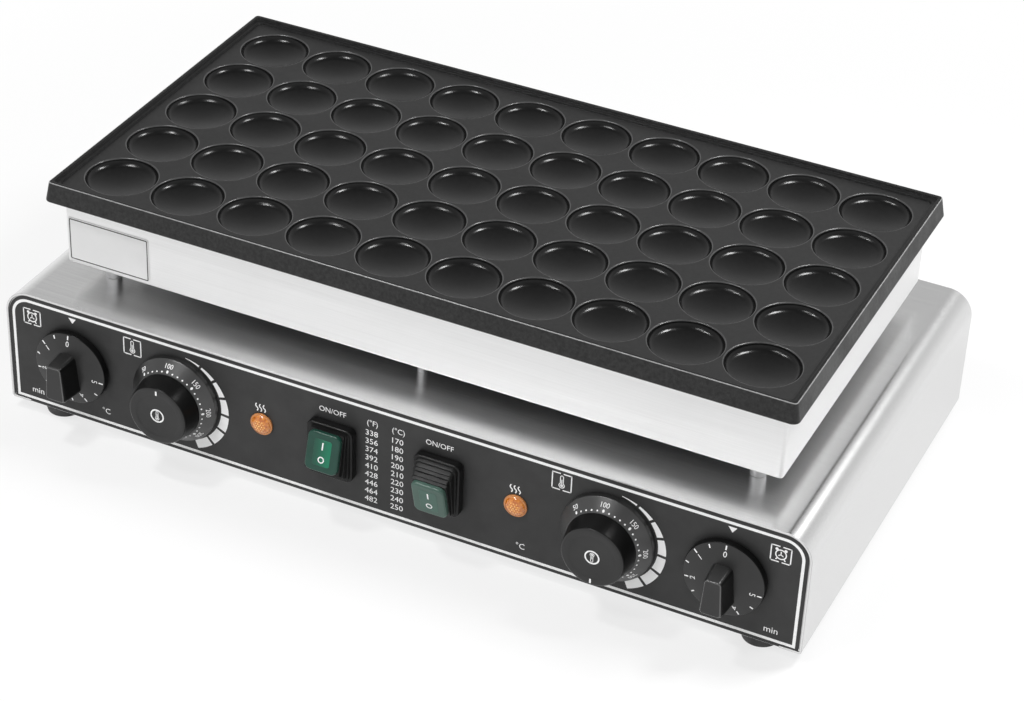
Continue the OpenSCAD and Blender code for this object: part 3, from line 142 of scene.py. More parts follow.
def grow(bm, faces, rise, wider=1.0, deeper=1.0):
    """Pull faces along Z, scaled about the axis, and return the pulled faces. A loose sheet keeps its back."""
    loose = all(e.is_boundary for e in loops_of(faces))
    out = bmesh.ops.extrude_face_region(bm, geom=faces)["geom"]
    verts = only(out, bmesh.types.BMVert)
    bmesh.ops.scale(bm, vec=(wider, deeper, 1), verts=verts)
    bmesh.ops.translate(bm, vec=(0, 0, rise), verts=verts)
    if not loose:
        bmesh.ops.delete(bm, geom=[f for f in faces if f.is_valid], context="FACES_ONLY")
    return only(out, bmesh.types.BMFace)


def step_in(bm, faces, width):
    """Narrow faces all round by a width."""
    bmesh.ops.inset_region(bm, faces=faces, thickness=width, use_boundary=True, use_even_offset=True)
    return faces


def block(w, d, z0, z1, corner=0.0, edge=0.0):
    """Rounded block standing from z0 to z1."""
    bm = rounded_sheet(w, d, corner, z0)
    grow(bm, bm.faces[:], z1 - z0)
    close_up(bm)
    if edge > 0:
        soften(bm, edge, 3, 40)
    return bm


def stacked(levels):
    """Skin over outlines of width, depth, corner and height, closed at the first and the last."""
    bm = bmesh.new()
    for w, d, corner, z in levels:
        join(bm, rounded_sheet(w, d, corner, z))
    bm.faces.ensure_lookup_table()
    sheets = bm.faces[:]
    rings = [sheet.edges[:] for sheet in sheets]
    for lower, upper in zip(rings, rings[1:]):
        bmesh.ops.bridge_loops(bm, edges=lower + upper)
    bmesh.ops.delete(bm, geom=sheets[1:-1], context="FACES_ONLY")
    bmesh.ops.recalc_face_normals(bm, faces=bm.faces)
    return bm


def turned(profile, steps=72):
    """Piece turned on a lathe about Z from radius and height pairs."""
    bm = bmesh.new()
    line = [bm.verts.new((r, 0, z)) for r, z in profile]
    edges = [bm.edges.new(pair) for pair in zip(line, line[1:])]
    bmesh.ops.spin(bm, geom=line + edges, cent=(0, 0, 0), axis=(0, 0, 1), dvec=(0, 0, 0),
                   angle=2 * math.pi, steps=steps, use_merge=True, use_duplicate=False)
    return close_up(bm)


def place(bm, matrix):
    """Move a shape to its place."""
    bmesh.ops.transform(bm, matrix=matrix, verts=bm.verts)
    return bm


def join(target, source, matrix=None, paint=None):
    """Add a source shape to a target, and free the source."""
    if matrix is not None:
        place(source, matrix)
    if paint is not None:
        paint_faces(source.faces, paint)
    mesh = bpy.data.meshes.new("joined")
    source.to_mesh(mesh)
    source.free()
    target.from_mesh(mesh)
    bpy.data.meshes.remove(mesh)
    return target


def front(x, h=0.0):
    """Frame on the front at the height of the controls: X to the right, Y up, Z out of the panel."""
    return Matrix.Translation((x, FRONT_Y - h, AXIS_Z)) @ Matrix.Rotation(math.pi / 2, 4, "X")


def corners(x, y):
    """The four places at these distances from the middle."""
    return [Matrix.Translation((across * x, along * y, 0)) for across in (-1, 1) for along in (-1, 1)]


def shade_evenly(obj):
    """Let large faces lead the shading."""
    obj.modifiers.new("even_shading", "WEIGHTED_NORMAL").keep_sharp = True


def thicken(obj, thickness):
    """Give a skin the thickness of its sheet, inwards."""
    wall = obj.modifiers.new("sheet", "SOLIDIFY")
    wall.thickness, wall.offset = thickness * MM, -1.0


def piece(name, bm, finishes, body="base", stands_for=(), crease=35.0, even=True):
    """Make a shape a piece of the machine that rides on a body."""
    bmesh.ops.scale(bm, vec=(MM, MM, MM), verts=bm.verts)
    mesh = bpy.data.meshes.new(name)
    bm.to_mesh(mesh)
    bm.free()
    for each in finishes if isinstance(finishes, list) else [finishes]:
        mesh.materials.append(each)
    mesh.polygons.foreach_set("use_smooth", [True] * len(mesh.polygons))
    mesh.set_sharp_from_angle(angle=math.radians(crease))
    obj = bpy.data.objects.new(name, mesh)
    scene.collection.objects.link(obj)
    if even:
        shade_evenly(obj)
    if body:
        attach(obj, body)
    if stands_for:
        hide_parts(*stands_for)
    return obj


# Finishes

class Finish:
    """A finish whose pattern lies on the piece's own coordinates."""

    def __init__(self, name, **sockets):
        self.material = bpy.data.materials.new(name)
        self.material.use_nodes = True
        self.tree = self.material.node_tree
        self.shader = self.tree.nodes["Principled BSDF"]
        self.normal = None
        for socket, value in sockets.items():
            self.shader.inputs[socket.replace("_", " ")].default_value = value

    def node(self, kind, **values):
        """Add a node and set its sockets or its settings."""
        made = self.tree.nodes.new(kind)
        for key, value in values.items():
            if key in made.inputs:
                made.inputs[key].default_value = value
            else:
                setattr(made, key, value)
        return made

    def wire(self, source, target):
        """Link an output to an input."""
        self.tree.links.new(source, target)

    def spot(self, stretch=(1, 1, 1)):
        """Place on the piece, with its three directions stretched."""
        mapping = self.node("ShaderNodeMapping", Scale=stretch)
        self.wire(self.node("ShaderNodeTexCoord").outputs["Object"], mapping.inputs["Vector"])
        return mapping.outputs["Vector"]

    def noise(self, scale, detail=3.0, stretch=(1, 1, 1), rough=0.55):
        """Cloudy pattern."""
        made = self.node("ShaderNodeTexNoise", Scale=scale, Detail=detail, Roughness=rough)
        self.wire(self.spot(stretch), made.inputs["Vector"])
        return made.outputs["Fac"]

    def cells(self, scale, stretch):
        """Pattern of round cells, dark in their middles."""
        made = self.node("ShaderNodeTexVoronoi", Scale=scale)
        self.wire(self.spot(stretch), made.inputs["Vector"])
        return made.outputs["Distance"]

    def spread(self, value, low, high, to_low, to_high):
        """Carry a value smoothly from one range to another."""
        made = self.node("ShaderNodeMapRange", interpolation_type="SMOOTHSTEP")
        for index, number in ((1, low), (2, high), (3, to_low), (4, to_high)):
            made.inputs[index].default_value = number
        self.wire(value, made.inputs[0])
        return made.outputs[0]

    def maths(self, operation, first, second):
        """Join two values into one."""
        made = self.node("ShaderNodeMath", operation=operation)
        self.wire(first, made.inputs[0])
        self.wire(second, made.inputs[1])
        return made.outputs[0]

    def colour(self, value, low, high, dark, light):
        """Colour the surface between dark and light by a value."""
        ramp = self.node("ShaderNodeValToRGB")
        ramp.color_ramp.elements[0].position, ramp.color_ramp.elements[1].position = low, high
        ramp.color_ramp.elements[0].color = (*dark, 1)
        ramp.color_ramp.elements[1].color = (*light, 1)
        self.wire(value, ramp.inputs["Fac"])
        self.wire(ramp.outputs["Color"], self.shader.inputs["Base Color"])
        return self

    def rough(self, value, low, high, to_low, to_high):
        """Roughen the surface by a value."""
        self.wire(self.spread(value, low, high, to_low, to_high), self.shader.inputs["Roughness"])
        return self

    def bump(self, value, depth, strength):
        """Raise the surface by a value, on top of any earlier bump."""
        made = self.node("ShaderNodeBump", Distance=depth, Strength=strength)
        self.wire(value, made.inputs["Height"])
        if self.normal:
            self.wire(self.normal, made.inputs["Normal"])
        self.normal = made.outputs["Normal"]
        self.wire(self.normal, self.shader.inputs["Normal"])
        return self


def grey(level):
    """Neutral colour."""
    return (level, level, level)


def steel(name, level, rough_low, rough_high, across, smear=0.6, streak=0.08, depth=0.00002):
    """Brushed sheet: long fine scratches along X, which smear reflections in the direction across them."""
    made = Finish(name, Metallic=1.0, Anisotropic=smear)
    way = made.node("ShaderNodeCombineXYZ", X=across[0], Y=across[1], Z=across[2])
    made.wire(way.outputs["Vector"], made.shader.inputs["Tangent"])
    lines = made.noise(1.0, 4.0, (12, 1400, 1400), 0.6)
    made.colour(lines, 0.25, 0.8, grey(level * (1 - streak)), grey(level * (1 + streak * 0.7)))
    made.rough(made.noise(1.0, 3.0, (7, 640, 640)), 0.3, 0.7, rough_low, rough_high)
    return made.bump(lines, depth, 0.6).material


def moulding(name, level, rough_low, rough_high, grain=1600.0, depth=0.00003, shine=0.35, mottle=0.12):
    """Moulded plastic with a fine spark-eroded grain."""
    made = Finish(name, Specular_IOR_Level=shine)
    grains = made.noise(grain, 2.0)
    made.colour(made.noise(60.0, 3.0), 0.3, 0.7, grey(level * (1 - mottle)), grey(level * (1 + mottle)))
    made.rough(made.noise(140.0, 2.0), 0.3, 0.7, rough_low, rough_high)
    return made.bump(grains, depth, 0.5).material


def casting(name, dark, light, rough_low, rough_high, depth, shine=0.4):
    """Coated casting: sandy grain, small pits and slow cloudy changes."""
    made = Finish(name, Specular_IOR_Level=shine)
    made.colour(made.noise(420.0, 5.0, rough=0.7), 0.3, 0.72, grey(dark), grey(light))
    made.rough(made.noise(35.0, 4.0), 0.3, 0.7, rough_low, rough_high)
    made.bump(made.noise(1100.0, 3.0), depth, 0.7)
    return made.bump(made.noise(260.0, 2.0), depth * 1.6, 0.35).material


def plain_metal(name, colour, rough_low, rough_high):
    """Plated or drawn metal with a faint mottle."""
    made = Finish(name, Metallic=1.0)
    mottle = made.noise(300.0, 3.0)
    made.colour(mottle, 0.3, 0.7, tuple(c * 0.88 for c in colour), colour)
    made.rough(made.noise(80.0, 2.0), 0.3, 0.7, rough_low, rough_high)
    return made.bump(mottle, 0.00002, 0.3).material


def amber():
    """Clear amber cap: deep orange that pales in small patches, under a glossy skin."""
    made = Finish("amber_cap", Roughness=0.2, Transmission_Weight=0.2, IOR=1.49, Coat_Weight=1.0,
                  Coat_Roughness=0.12, Emission_Color=(0.85, 0.25, 0.03, 1), Emission_Strength=0.12)
    patches = made.cells(620.0, stretch=(1, 0.4, 1))
    made.colour(patches, 0.15, 0.75, (0.84, 0.31, 0.035), (0.48, 0.12, 0.010))
    return made.bump(made.spread(patches, 0.0, 0.8, 1.0, 0.0), 0.0002, 0.5).material


def tinted(name, dark, light, glow, ends=None):
    """Tinted hard plastic, lit from behind by a little glow, that may grow lighter between two ends along X."""
    made = Finish(name, Specular_IOR_Level=0.35, Coat_Weight=0.08, Coat_Roughness=0.2,
                  Emission_Color=(0.02, 0.42, 0.24, 1), Emission_Strength=glow)
    if ends:
        along = made.node("ShaderNodeSeparateXYZ")
        made.wire(made.spot(), along.inputs[0])
        made.colour(made.spread(along.outputs["X"], *ends, 0.0, 1.0), 0.0, 1.0, dark, light)
    else:
        made.colour(made.noise(90.0, 2.0), 0.3, 0.7, dark, light)
    made.rough(made.noise(220.0, 2.0), 0.3, 0.7, 0.28, 0.36)
    return made.bump(made.noise(900.0, 2.0), 0.00003, 0.4).material


plate_coat = casting("plate_coat", 0.0140, 0.0205, 0.40, 0.52, 0.00005, 0.18)
# Cups: the plate's coating made near-black, painted shade in the recessed cups
cup_coat_painted_shade = casting("cup_coat_painted_shade", 0.003, 0.006, 0.20, 0.25, 0.00004, 0.25)
# Cup lips: lighter and glossier than the plate's coat, a painted highlight along each rounded lip
lip_coat_painted_highlight = casting("lip_coat_painted_highlight", 0.028, 0.044, 0.28, 0.34, 0.00002, 0.6)
rim_coat = casting("rim_coat", 0.006, 0.012, 0.32, 0.44, 0.00005, 0.16)
# Outer rounded edges of the rim: far lighter grey, partly wear and partly a painted highlight
plate_edge_wear_and_painted_highlight = casting("plate_edge_wear_and_painted_highlight", 0.16, 0.28, 0.28, 0.34, 0.00002, 0.5)
plate_side = casting("plate_side", 0.010, 0.034, 0.34, 0.50, 0.00012, 0.25)
base_steel = steel("base_steel", 0.75, 0.23, 0.262, (0, 1, 0), 0.65, 0.08, 0.00001)
edge_steel = steel("edge_steel", 0.60, 0.50, 0.60, (0, 1, 0), 0.2, 0.04, 0.00001)
panel_steel = steel("panel_steel", 0.62, 0.29, 0.37, (0, 0, 1))
skirt_steel = steel("skirt_steel", 0.86, 0.48, 0.56, (0, 0, 1), 0.4, 0.04, 0.00001)
film = moulding("panel_film", 0.032, 0.42, 0.52, 2200.0, 0.00002, 0.3)
ink = moulding("white_ink", 0.90, 0.45, 0.55, 1800.0, 0.00001, mottle=0.03)
dial_black = moulding("dial_black", 0.015, 0.30, 0.38, shine=0.45)
# Darker copy of the dial and knob plastic for their side walls: painted shade
black_painted_shade = moulding("black_painted_shade", 0.006, 0.28, 0.34, shine=0.12)
# Grip edges: lighter, glossier grey on the rounded edges of the timer grips, partly wear and partly a painted
# highlight
grip_edge_wear_and_painted_highlight = moulding("grip_edge_wear_and_painted_highlight", 0.060, 0.20, 0.26, shine=0.9)
ring_black = moulding("ring_black", 0.008, 0.35, 0.43, shine=1.0)
cap_black = moulding("cap_black", 0.021, 0.32, 0.42)
gland_black = moulding("gland_black", 0.018, 0.35, 0.45)
frame_black = moulding("frame_black", 0.007, 0.28, 0.35, shine=0.25)
rubber = moulding("black_rubber", 0.007, 0.42, 0.50, 900.0, 0.00003, 0.28)
# Fold edges of the boots: lighter grey rubber, a painted highlight
rubber_edge_painted_highlight = moulding("rubber_edge_painted_highlight", 0.028, 0.30, 0.36, 900.0, 0.00002, 0.8)
foot_rubber = moulding("foot_rubber", 0.050, 0.60, 0.72, 900.0, 0.00006)
zinc = plain_metal("zinc_plate", (0.66, 0.67, 0.68), 0.34, 0.46)
post_steel = plain_metal("post_steel", (0.80, 0.80, 0.81), 0.30, 0.40)
label_plate = moulding("label_plate", 0.78, 0.40, 0.50, 1500.0, 0.00001, mottle=0.02)
label_line = moulding("label_line", 0.05, 0.40, 0.50, 1500.0, 0.00001)
sheath = plain_metal("element_sheath", (0.30, 0.28, 0.26), 0.40, 0.55)
copper = plain_metal("drawn_copper", (0.72, 0.42, 0.26), 0.28, 0.38)
fibre = casting("mineral_fibre", 0.66, 0.80, 0.85, 0.95, 0.0004)
ceramic = moulding("cream_ceramic", 0.70, 0.30, 0.42, 700.0, 0.00003, mottle=0.04)
amber_cap = amber()
amber_rim = tinted("amber_rim", (0.50, 0.190, 0.060), (0.62, 0.260, 0.090), 0.0)
amber_bead = tinted("amber_bead", (0.96, 0.540, 0.140), (0.98, 0.660, 0.200), 0.0)
key_lit = tinted("key_lit", (0.007, 0.048, 0.032), (0.010, 0.058, 0.040), 0.0)
key_window_lit = tinted("key_window_lit", (0.010, 0.060, 0.040), (0.003, 0.170, 0.088), 0.02,
                        (-0.043, -0.029))
# Unlit key: green plastic paled by a painted reflection, which also washes out its window
key_off_painted_reflection = tinted("key_off_painted_reflection", (0.046, 0.094, 0.074), (0.054, 0.108, 0.086), 0.0)
key_window_off_painted_reflection = tinted("key_window_off_painted_reflection", (0.042, 0.106, 0.080), (0.050, 0.122, 0.094), 0.0)


# Cast plate

# Order of the plate's finishes
COAT, CUP, EDGE, SIDE, RIM, LIP = range(6)


def cup_tile():
    """One cup with the flat surface around it: dished floor, round bend and upright lip."""
    dish_steps, bend_steps = 6, 9
    meet = math.asin(BEND_CENTRE / (CUP_DISH - CUP_BEND))
    line = []
    for k in range(dish_steps + 1):
        turn = meet * k / dish_steps
        line.append((CUP_DISH * math.sin(turn), SURFACE - CUP_DEPTH + CUP_DISH * (1 - math.cos(turn))))
    for k in range(1, bend_steps + 1):
        turn = meet + (math.pi / 2 - meet) * k / bend_steps
        line.append((BEND_CENTRE + CUP_BEND * math.sin(turn), SURFACE - CUP_BEND * math.cos(turn)))
    bm = turned(line, 56)
    # All of the cup's faces take the near-black coat, painted shade
    paint_faces(bm.faces, CUP)
    lip = [e for e in bm.edges if e.is_boundary]
    out = bmesh.ops.extrude_edge_only(bm, edges=lip)["geom"]
    for vert in only(out, bmesh.types.BMVert):
        reach = 1 / max(abs(vert.co.x), abs(vert.co.y))
        vert.co.x *= CUP_PITCH_X / 2 * reach
        vert.co.y *= CUP_PITCH_Y / 2 * reach
    paint_faces(only(out, bmesh.types.BMFace), COAT)
    # The rounded lip takes the lighter coat, a painted highlight line around each cup
    paint_faces(soften(bm, 0.7, 4, edges=lip), LIP)
    return bm


def baking_plate():
    """Casting with drafted sides, a raised rim with an inner ledge, and the cups."""
    bm = stacked([(PLATE_W, PLATE_D, 5, SKIRT_TOP), (PLATE_W - 5, PLATE_D - 5, 2.5, PLATE_TOP),
                  (PLATE_W - 10, PLATE_D - 10, 2.2, PLATE_TOP), (PLATE_W - 10, PLATE_D - 10, 2.2, LEDGE),
                  (PLATE_W - 15, PLATE_D - 15, 3, LEDGE), (PLATE_W - 15, PLATE_D - 15, 3, SURFACE)])
    for face in bm.faces:
        face.material_index = SIDE if abs(face.normal.z) < 0.5 else RIM
    rim_middle = 3.5
    # Rounded edges: the outer ones take the light edge finish, partly wear and partly painted highlight; the
    # inner ones take the rim's coat
    for face in soften(bm, 0.45, 2, 40):
        spot = face.calc_center_median()
        outer = abs(spot.x) > PLATE_W / 2 - rim_middle or abs(spot.y) > PLATE_D / 2 - rim_middle
        face.material_index = EDGE if outer else RIM
    floor = max((f for f in bm.faces if abs(f.calc_center_median().z - SURFACE) < 0.01),
                key=lambda f: f.calc_area())
    bmesh.ops.delete(bm, geom=[floor], context="FACES_ONLY")
    for column in range(CUP_COLUMNS):
        for row in range(CUP_ROWS):
            x = (column - (CUP_COLUMNS - 1) / 2) * CUP_PITCH_X
            y = (row - (CUP_ROWS - 1) / 2) * CUP_PITCH_Y
            join(bm, cup_tile(), Matrix.Translation((x, y, 0)))
    bmesh.ops.remove_doubles(bm, verts=bm.verts, dist=1e-3)
    bmesh.ops.triangle_fill(bm, edges=[e for e in bm.edges if e.is_boundary], use_beauty=True,
                            use_dissolve=False, normal=(0, 0, 1))
    bmesh.ops.recalc_face_normals(bm, faces=bm.faces)
    return piece("cast_plate", bm, [plate_coat, cup_coat_painted_shade, plate_edge_wear_and_painted_highlight, plate_side, rim_coat, lip_coat_painted_highlight],
                 stands_for=["baking_plate"], crease=50)


# Skirt, posts and base

def plate_skirt():
    """Sheet around the underside of the plate, bent in below to a flange."""
    levels = [(SKIRT_W - 2 * SKIRT_FLANGE, SKIRT_D - 2 * SKIRT_FLANGE, 1.0, SKIRT_LOW)]
    for degrees in range(0, 91, 18):
        turn = math.radians(degrees)
        inset = SKIRT_BEND * (1 - math.sin(turn))
        rise = SKIRT_BEND * (1 - math.cos(turn))
        levels.append((SKIRT_W - 2 * inset, SKIRT_D - 2 * inset, SKIRT_CORNER - inset, SKIRT_LOW + rise))
    levels.append((SKIRT_W, SKIRT_D, SKIRT_CORNER, SKIRT_TOP))
    bm = stacked(levels)
    ends = [f for f in bm.faces if len(f.verts) > 4]
    bmesh.ops.delete(bm, geom=ends, context="FACES_ONLY")
    obj = piece("skirt", bm, skirt_steel, stands_for=["plate_skirt"], even=False)
    thicken(obj, SKIRT_SHEET)
    shade_evenly(obj)
    return obj


def base_wrap():
    """Sheet folded over the top and both sides, with a narrow flange turned in below."""
    bm = bmesh.new()
    half, middle = BASE_W / 2, (BASE_LOW + BASE_TOP) / 2
    outline = [(-half + BASE_FLANGE, BASE_LOW), (-half, BASE_LOW), (-half, BASE_TOP), (half, BASE_TOP),
               (half, BASE_LOW), (half - BASE_FLANGE, BASE_LOW)]
    line = [bm.verts.new((x, -BASE_D / 2, z)) for x, z in outline]
    edges = [bm.edges.new(pair) for pair in zip(line, line[1:])]
    out = bmesh.ops.extrude_edge_only(bm, edges=edges)["geom"]
    bmesh.ops.translate(bm, vec=(0, BASE_D, 0), verts=only(out, bmesh.types.BMVert))

    def folds():
        """Edges between two faces that run from front to back."""
        return [e for e in bm.edges if abs(e.verts[0].co.y - e.verts[1].co.y) > 1 and len(e.link_faces) == 2]

    soften(bm, BASE_BEND, 18, edges=[e for e in folds() if e.verts[0].co.z > middle])
    soften(bm, 2, 4, edges=[e for e in folds() if e.verts[0].co.z < BASE_LOW + 1
                            and abs(e.verts[0].co.x) > half - 1])
    for face in bm.faces:
        if face.normal.dot(face.calc_center_median() - Vector((0, 0, middle))) < 0:
            face.normal_flip()
    finishes = [base_steel, edge_steel]
    obj = piece("base_wrap", bm, finishes, stands_for=["housing_wrap"], even=False)
    thicken(obj, BASE_SHEET)
    edge = obj.modifiers.new("rolled_edge", "BEVEL")
    edge.width, edge.segments, edge.limit_method, edge.angle_limit = 0.3 * MM, 2, "ANGLE", math.radians(50)
    edge.material = finishes.index(edge_steel)
    shade_evenly(obj)
    return obj


def posts():
    """Round posts that carry the skirt on the base."""
    bm = bmesh.new()
    for spot in corners(POST_X, POST_Y):
        join(bm, turned([(0, BASE_TOP), (POST_R, BASE_TOP), (POST_R, SKIRT_LOW), (0, SKIRT_LOW)], 40), spot)
    soften(bm, 0.5, 2, 60)
    return piece("corner_posts", bm, post_steel, stands_for=["support_posts"])


def feet():
    """Tapered feet with a hollow for the screw's head."""
    bm = bmesh.new()
    for spot in corners(FOOT_X, FOOT_Y):
        foot = turned([(0, FOOT_H), (13, FOOT_H), (11.5, 0), (5, 0), (5, 4), (0, 4)], 48)
        soften(foot, 0.8, 3, 50)
        join(bm, foot, spot)
    return piece("feet", bm, foot_rubber, stands_for=["rubber_feet"])


def bare_label():
    """White plate on the skirt, with a thin dark line inside its edge."""
    finishes = [label_plate, label_line]
    w, d, thick, margin = 58, 30.7, 0.3, 0.8
    bm = block(w, d, 0, thick, 1.6, 0.1)
    line = rounded_sheet(w - 2 * margin, d - 2 * margin, 1.0, thick)
    inside = step_in(line, line.faces[:], 0.7)
    bmesh.ops.delete(line, geom=inside, context="FACES")
    join(bm, raised(line, 0.06), paint=finishes.index(label_line))
    place(bm, Matrix.Translation((-208, -SKIRT_D / 2, 123.4)) @ Matrix.Rotation(math.pi / 2, 4, "X"))
    return piece("bare_label", bm, finishes)


# Controls

def timer_dial(side, sign):
    """Hollow conical dial with a bar grip that narrows upwards."""
    flat, bright, wall = range(3)
    hollow, roof, low = DIAL_R - 2, 4.8, 0.6
    bm = turned([(0, roof), (hollow, roof), (hollow, low), (DIAL_R, low), (DIAL_R, DIAL_EDGE),
                 (DIAL_FLAT, DIAL_TOP), (0, DIAL_TOP)], 96)
    soften(bm, 0.7, 3, 50)
    # Faces toward the front keep the dial's plastic; the walls take its darker copy, painted shade
    for face in bm.faces:
        face.material_index = flat if face.normal.z > 0.7 else wall
    grip = stacked([(18.2, 27.6, 4, DIAL_EDGE), (15.0, 26, 3, 22), (13.0, 24, 2, 24)])
    # The grip's sides take the darker copy too, painted shade
    for face in grip.faces:
        face.material_index = flat if abs(face.normal.x) < 0.7 else wall
    # The grip's rounded edges take the light edge finish, partly wear and partly painted highlight
    paint_faces(soften(grip, 0.5, 2, 24), bright)
    taper, widest = 0.0105, -13
    for vert in grip.verts:
        vert.co.x *= 1 - taper * (vert.co.y - widest)
    join(bm, grip, Matrix.Translation((0, -1.6, 0)))
    place(bm, front(sign * TIMER_X))
    return piece("timer_dial_" + side, bm, [dial_black, grip_edge_wear_and_painted_highlight, black_painted_shade], "timer_" + side,
                 ["timer_knob_" + side])


def scale_ring(side, sign):
    """Fixed conical ring around a knob, with a floor under the knob."""
    bore, inner, floor = 6, 20.5, 1
    bm = turned([(bore, SEAT), (RING_FOOT[0], SEAT), RING_FOOT, RING_TOP, (inner, RING_TOP[1]), (inner, floor),
                 (bore, floor), (bore, SEAT)], 112)
    soften(bm, 0.4, 3, 30)
    place(bm, front(sign * STAT_X))
    return piece("scale_ring_" + side, bm, ring_black, "base", ["thermostat_bezel_" + side])


def heat_knob(side, sign):
    """Tapered knob with a rounded rim and a sunk face."""
    bm = turned([(0, 11.2), (22.2, 11.2), (KNOB_R, KNOB_RIM), (15.2, KNOB_RIM), (14.6, KNOB_FACE),
                 (0, KNOB_FACE)], 112)

    def on_rim(vert):
        """Whether a point lies on the outer edge of the rim."""
        return abs(vert.co.z - KNOB_RIM) < 1e-3 and abs(math.hypot(vert.co.x, vert.co.y) - KNOB_R) < 1e-2

    rim = [e for e in bm.edges if len(e.link_faces) == 2 and all(on_rim(v) for v in e.verts)]
    soften(bm, 1.4, 5, edges=rim)
    # The face keeps the knob's plastic; the walls take its darker copy, painted shade
    flat, wall = range(2)
    for face in bm.faces:
        face.material_index = flat if face.normal.z > 0.7 else wall
    place(bm, front(sign * STAT_X))
    return piece("heat_knob_" + side, bm, [cap_black, black_painted_shade], "thermostat_" + side,
                 ["thermostat_knob_" + side], crease=40)


def lamp(side, sign):
    """Pilot lamp's cap: stem, rim and low dome set with flat beads."""
    cap, rim, beads = range(3)
    bm = turned([(0, -9), (5.6, -9), (5.6, SEAT), (7.6, SEAT), (7.6, 0.8), (6.6, 0.8), (6.2, 1.6), (5.3, 2.5),
                 (4.0, 3.05), (2.3, 3.35), (0, 3.4)], 48)
    soften(bm, 0.3, 2, 60)
    for face in bm.faces:
        face.material_index = cap if face.calc_center_median().z > 1.2 else rim
    pitch, reach, peak, fall = 1.75, 4.4, 3.1, 0.03
    for row in range(-2, 3):
        for column in range(-3, 4):
            x, y = (column + 0.5 * (row % 2)) * pitch, row * pitch * 0.87
            if math.hypot(x, y) < reach:
                bead = bmesh.new()
                bmesh.ops.create_icosphere(bead, subdivisions=2, radius=0.68)
                spot = Matrix.Translation((x, y, peak - fall * (x * x + y * y)))
                join(bm, bead, spot @ Matrix.Diagonal((1, 1, 0.7, 1)), beads)
    place(bm, front(sign * LAMP_X))
    return piece("lamp_cap_" + side, bm, [amber_cap, amber_rim, amber_bead], "base", ["lamp_lens_" + side])


def key_frame(sign):
    """Frame of a rocker key at rest, on its pivot, with Z along the key."""
    return front(sign * SWITCH_X, h=-PIVOT) @ Matrix.Rotation(math.radians(KEY_LEAN * sign), 4, "X")


def switch_frame(side, sign):
    """Rocker switch's frame on the panel, and its body behind."""
    bm = block(31, 38, SEAT, SWITCH_FRAME_H, 4, 0.9)
    join(bm, block(21, 29, -28, SEAT, 1))
    place(bm, front(sign * SWITCH_X))
    return piece("switch_frame_" + side, bm, frame_black, "base", ["switch_body_" + side])


def rocker_key(side, sign, pad_finish, window_finish):
    """Key's pad with a window, a bar and a ring on it, and its stem below."""
    window, mark = 1, 2
    low, high = PAD_TOP + 0.1, PAD_TOP + 0.2
    bm = block(22, 25.5, PAD_LOW, PAD_TOP, 4)
    upper = [e for e in bm.edges if all(v.co.z > PAD_TOP - 0.1 for v in e.verts)]
    soften(bm, 1.3, 4, edges=upper)
    join(bm, block(18, 20, PAD_LOW - 3, PAD_LOW, 2))
    join(bm, block(11.8, 17.0, PAD_TOP - 0.4, PAD_TOP + 0.12, 1.6, 0.12), paint=window)
    join(bm, block(0.9, 4.8, low, high), Matrix.Translation((0, 4.3, 0)), mark)
    ring = turned([(1.45, low), (2.15, low), (2.15, high), (1.45, high), (1.45, low)], 32)
    join(bm, ring, Matrix.Translation((0, -4.5, 0)), mark)
    place(bm, key_frame(sign))
    return piece("rocker_key_" + side, bm, [pad_finish, window_finish, ink], "switch_" + side,
                 ["switch_rocker_" + side])


def key_boot(side, sign):
    """Rubber bellows: three folds that fan out from the frame to the underside of the pad."""
    finishes = [rubber, rubber_edge_painted_highlight]
    tilt = math.radians(KEY_LEAN * sign)
    low, high = SWITCH_FRAME_H + PIVOT, PAD_LOW - 0.05
    sizes, fold = [(27.8, 34.8), (25.2, 30.8), (23.2, 26.7)], 1.3
    bm = rounded_sheet(*sizes[0], 3.2, 0.0, 5)
    top = bm.faces[:]
    for number, (w, d) in enumerate(sizes):
        top = grow(bm, top, 0.17)
        if number + 1 < len(sizes):
            next_w, next_d = sizes[number + 1]
            top = grow(bm, step_in(bm, top, fold), 0.0001)
            top = grow(bm, top, 0.22)
            top = grow(bm, top, 0.0001, next_w / (w - 2 * fold), next_d / (d - 2 * fold))
    peak = max(v.co.z for v in bm.verts)
    close_up(bm)
    for vert in bm.verts:
        share = vert.co.z / peak
        flat = Vector((vert.co.x, vert.co.y, low))
        leant = Matrix.Rotation(tilt, 3, "X") @ Vector((vert.co.x, vert.co.y, high))
        vert.co = flat.lerp(leant, share)
    bmesh.ops.recalc_face_normals(bm, faces=bm.faces)
    folds = [e for e in bm.edges if len(e.link_faces) == 2 and e.is_convex
             and e.calc_face_angle(0.0) > math.radians(40)]
    # The rounded fold edges take the lighter rubber, a painted highlight
    paint_faces(soften(bm, 0.28, 3, edges=folds), finishes.index(rubber_edge_painted_highlight))
    pivot = front(sign * SWITCH_X, h=-PIVOT)
    place(bm, pivot)
    obj = piece("key_boot_" + side, bm, finishes, None, ["switch_boot_" + side], crease=50, even=False)
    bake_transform(obj)
    return obj


# Printing

def bar(w, d, x=0.0, y=0.0, turn=0.0):
    """Flat bar, turned anticlockwise about its middle."""
    bm = bmesh.new()
    bmesh.ops.create_grid(bm, x_segments=1, y_segments=1, size=0.5)
    bmesh.ops.scale(bm, vec=(w, d, 1), verts=bm.verts)
    return place(bm, Matrix.Translation((x, y, 0)) @ Matrix.Rotation(math.radians(turn), 4, "Z"))


def disc(r, x=0.0, y=0.0, steps=20):
    """Flat round dot."""
    bm = bmesh.new()
    bmesh.ops.create_circle(bm, cap_ends=True, radius=r, segments=steps)
    return place(bm, Matrix.Translation((x, y, 0)))


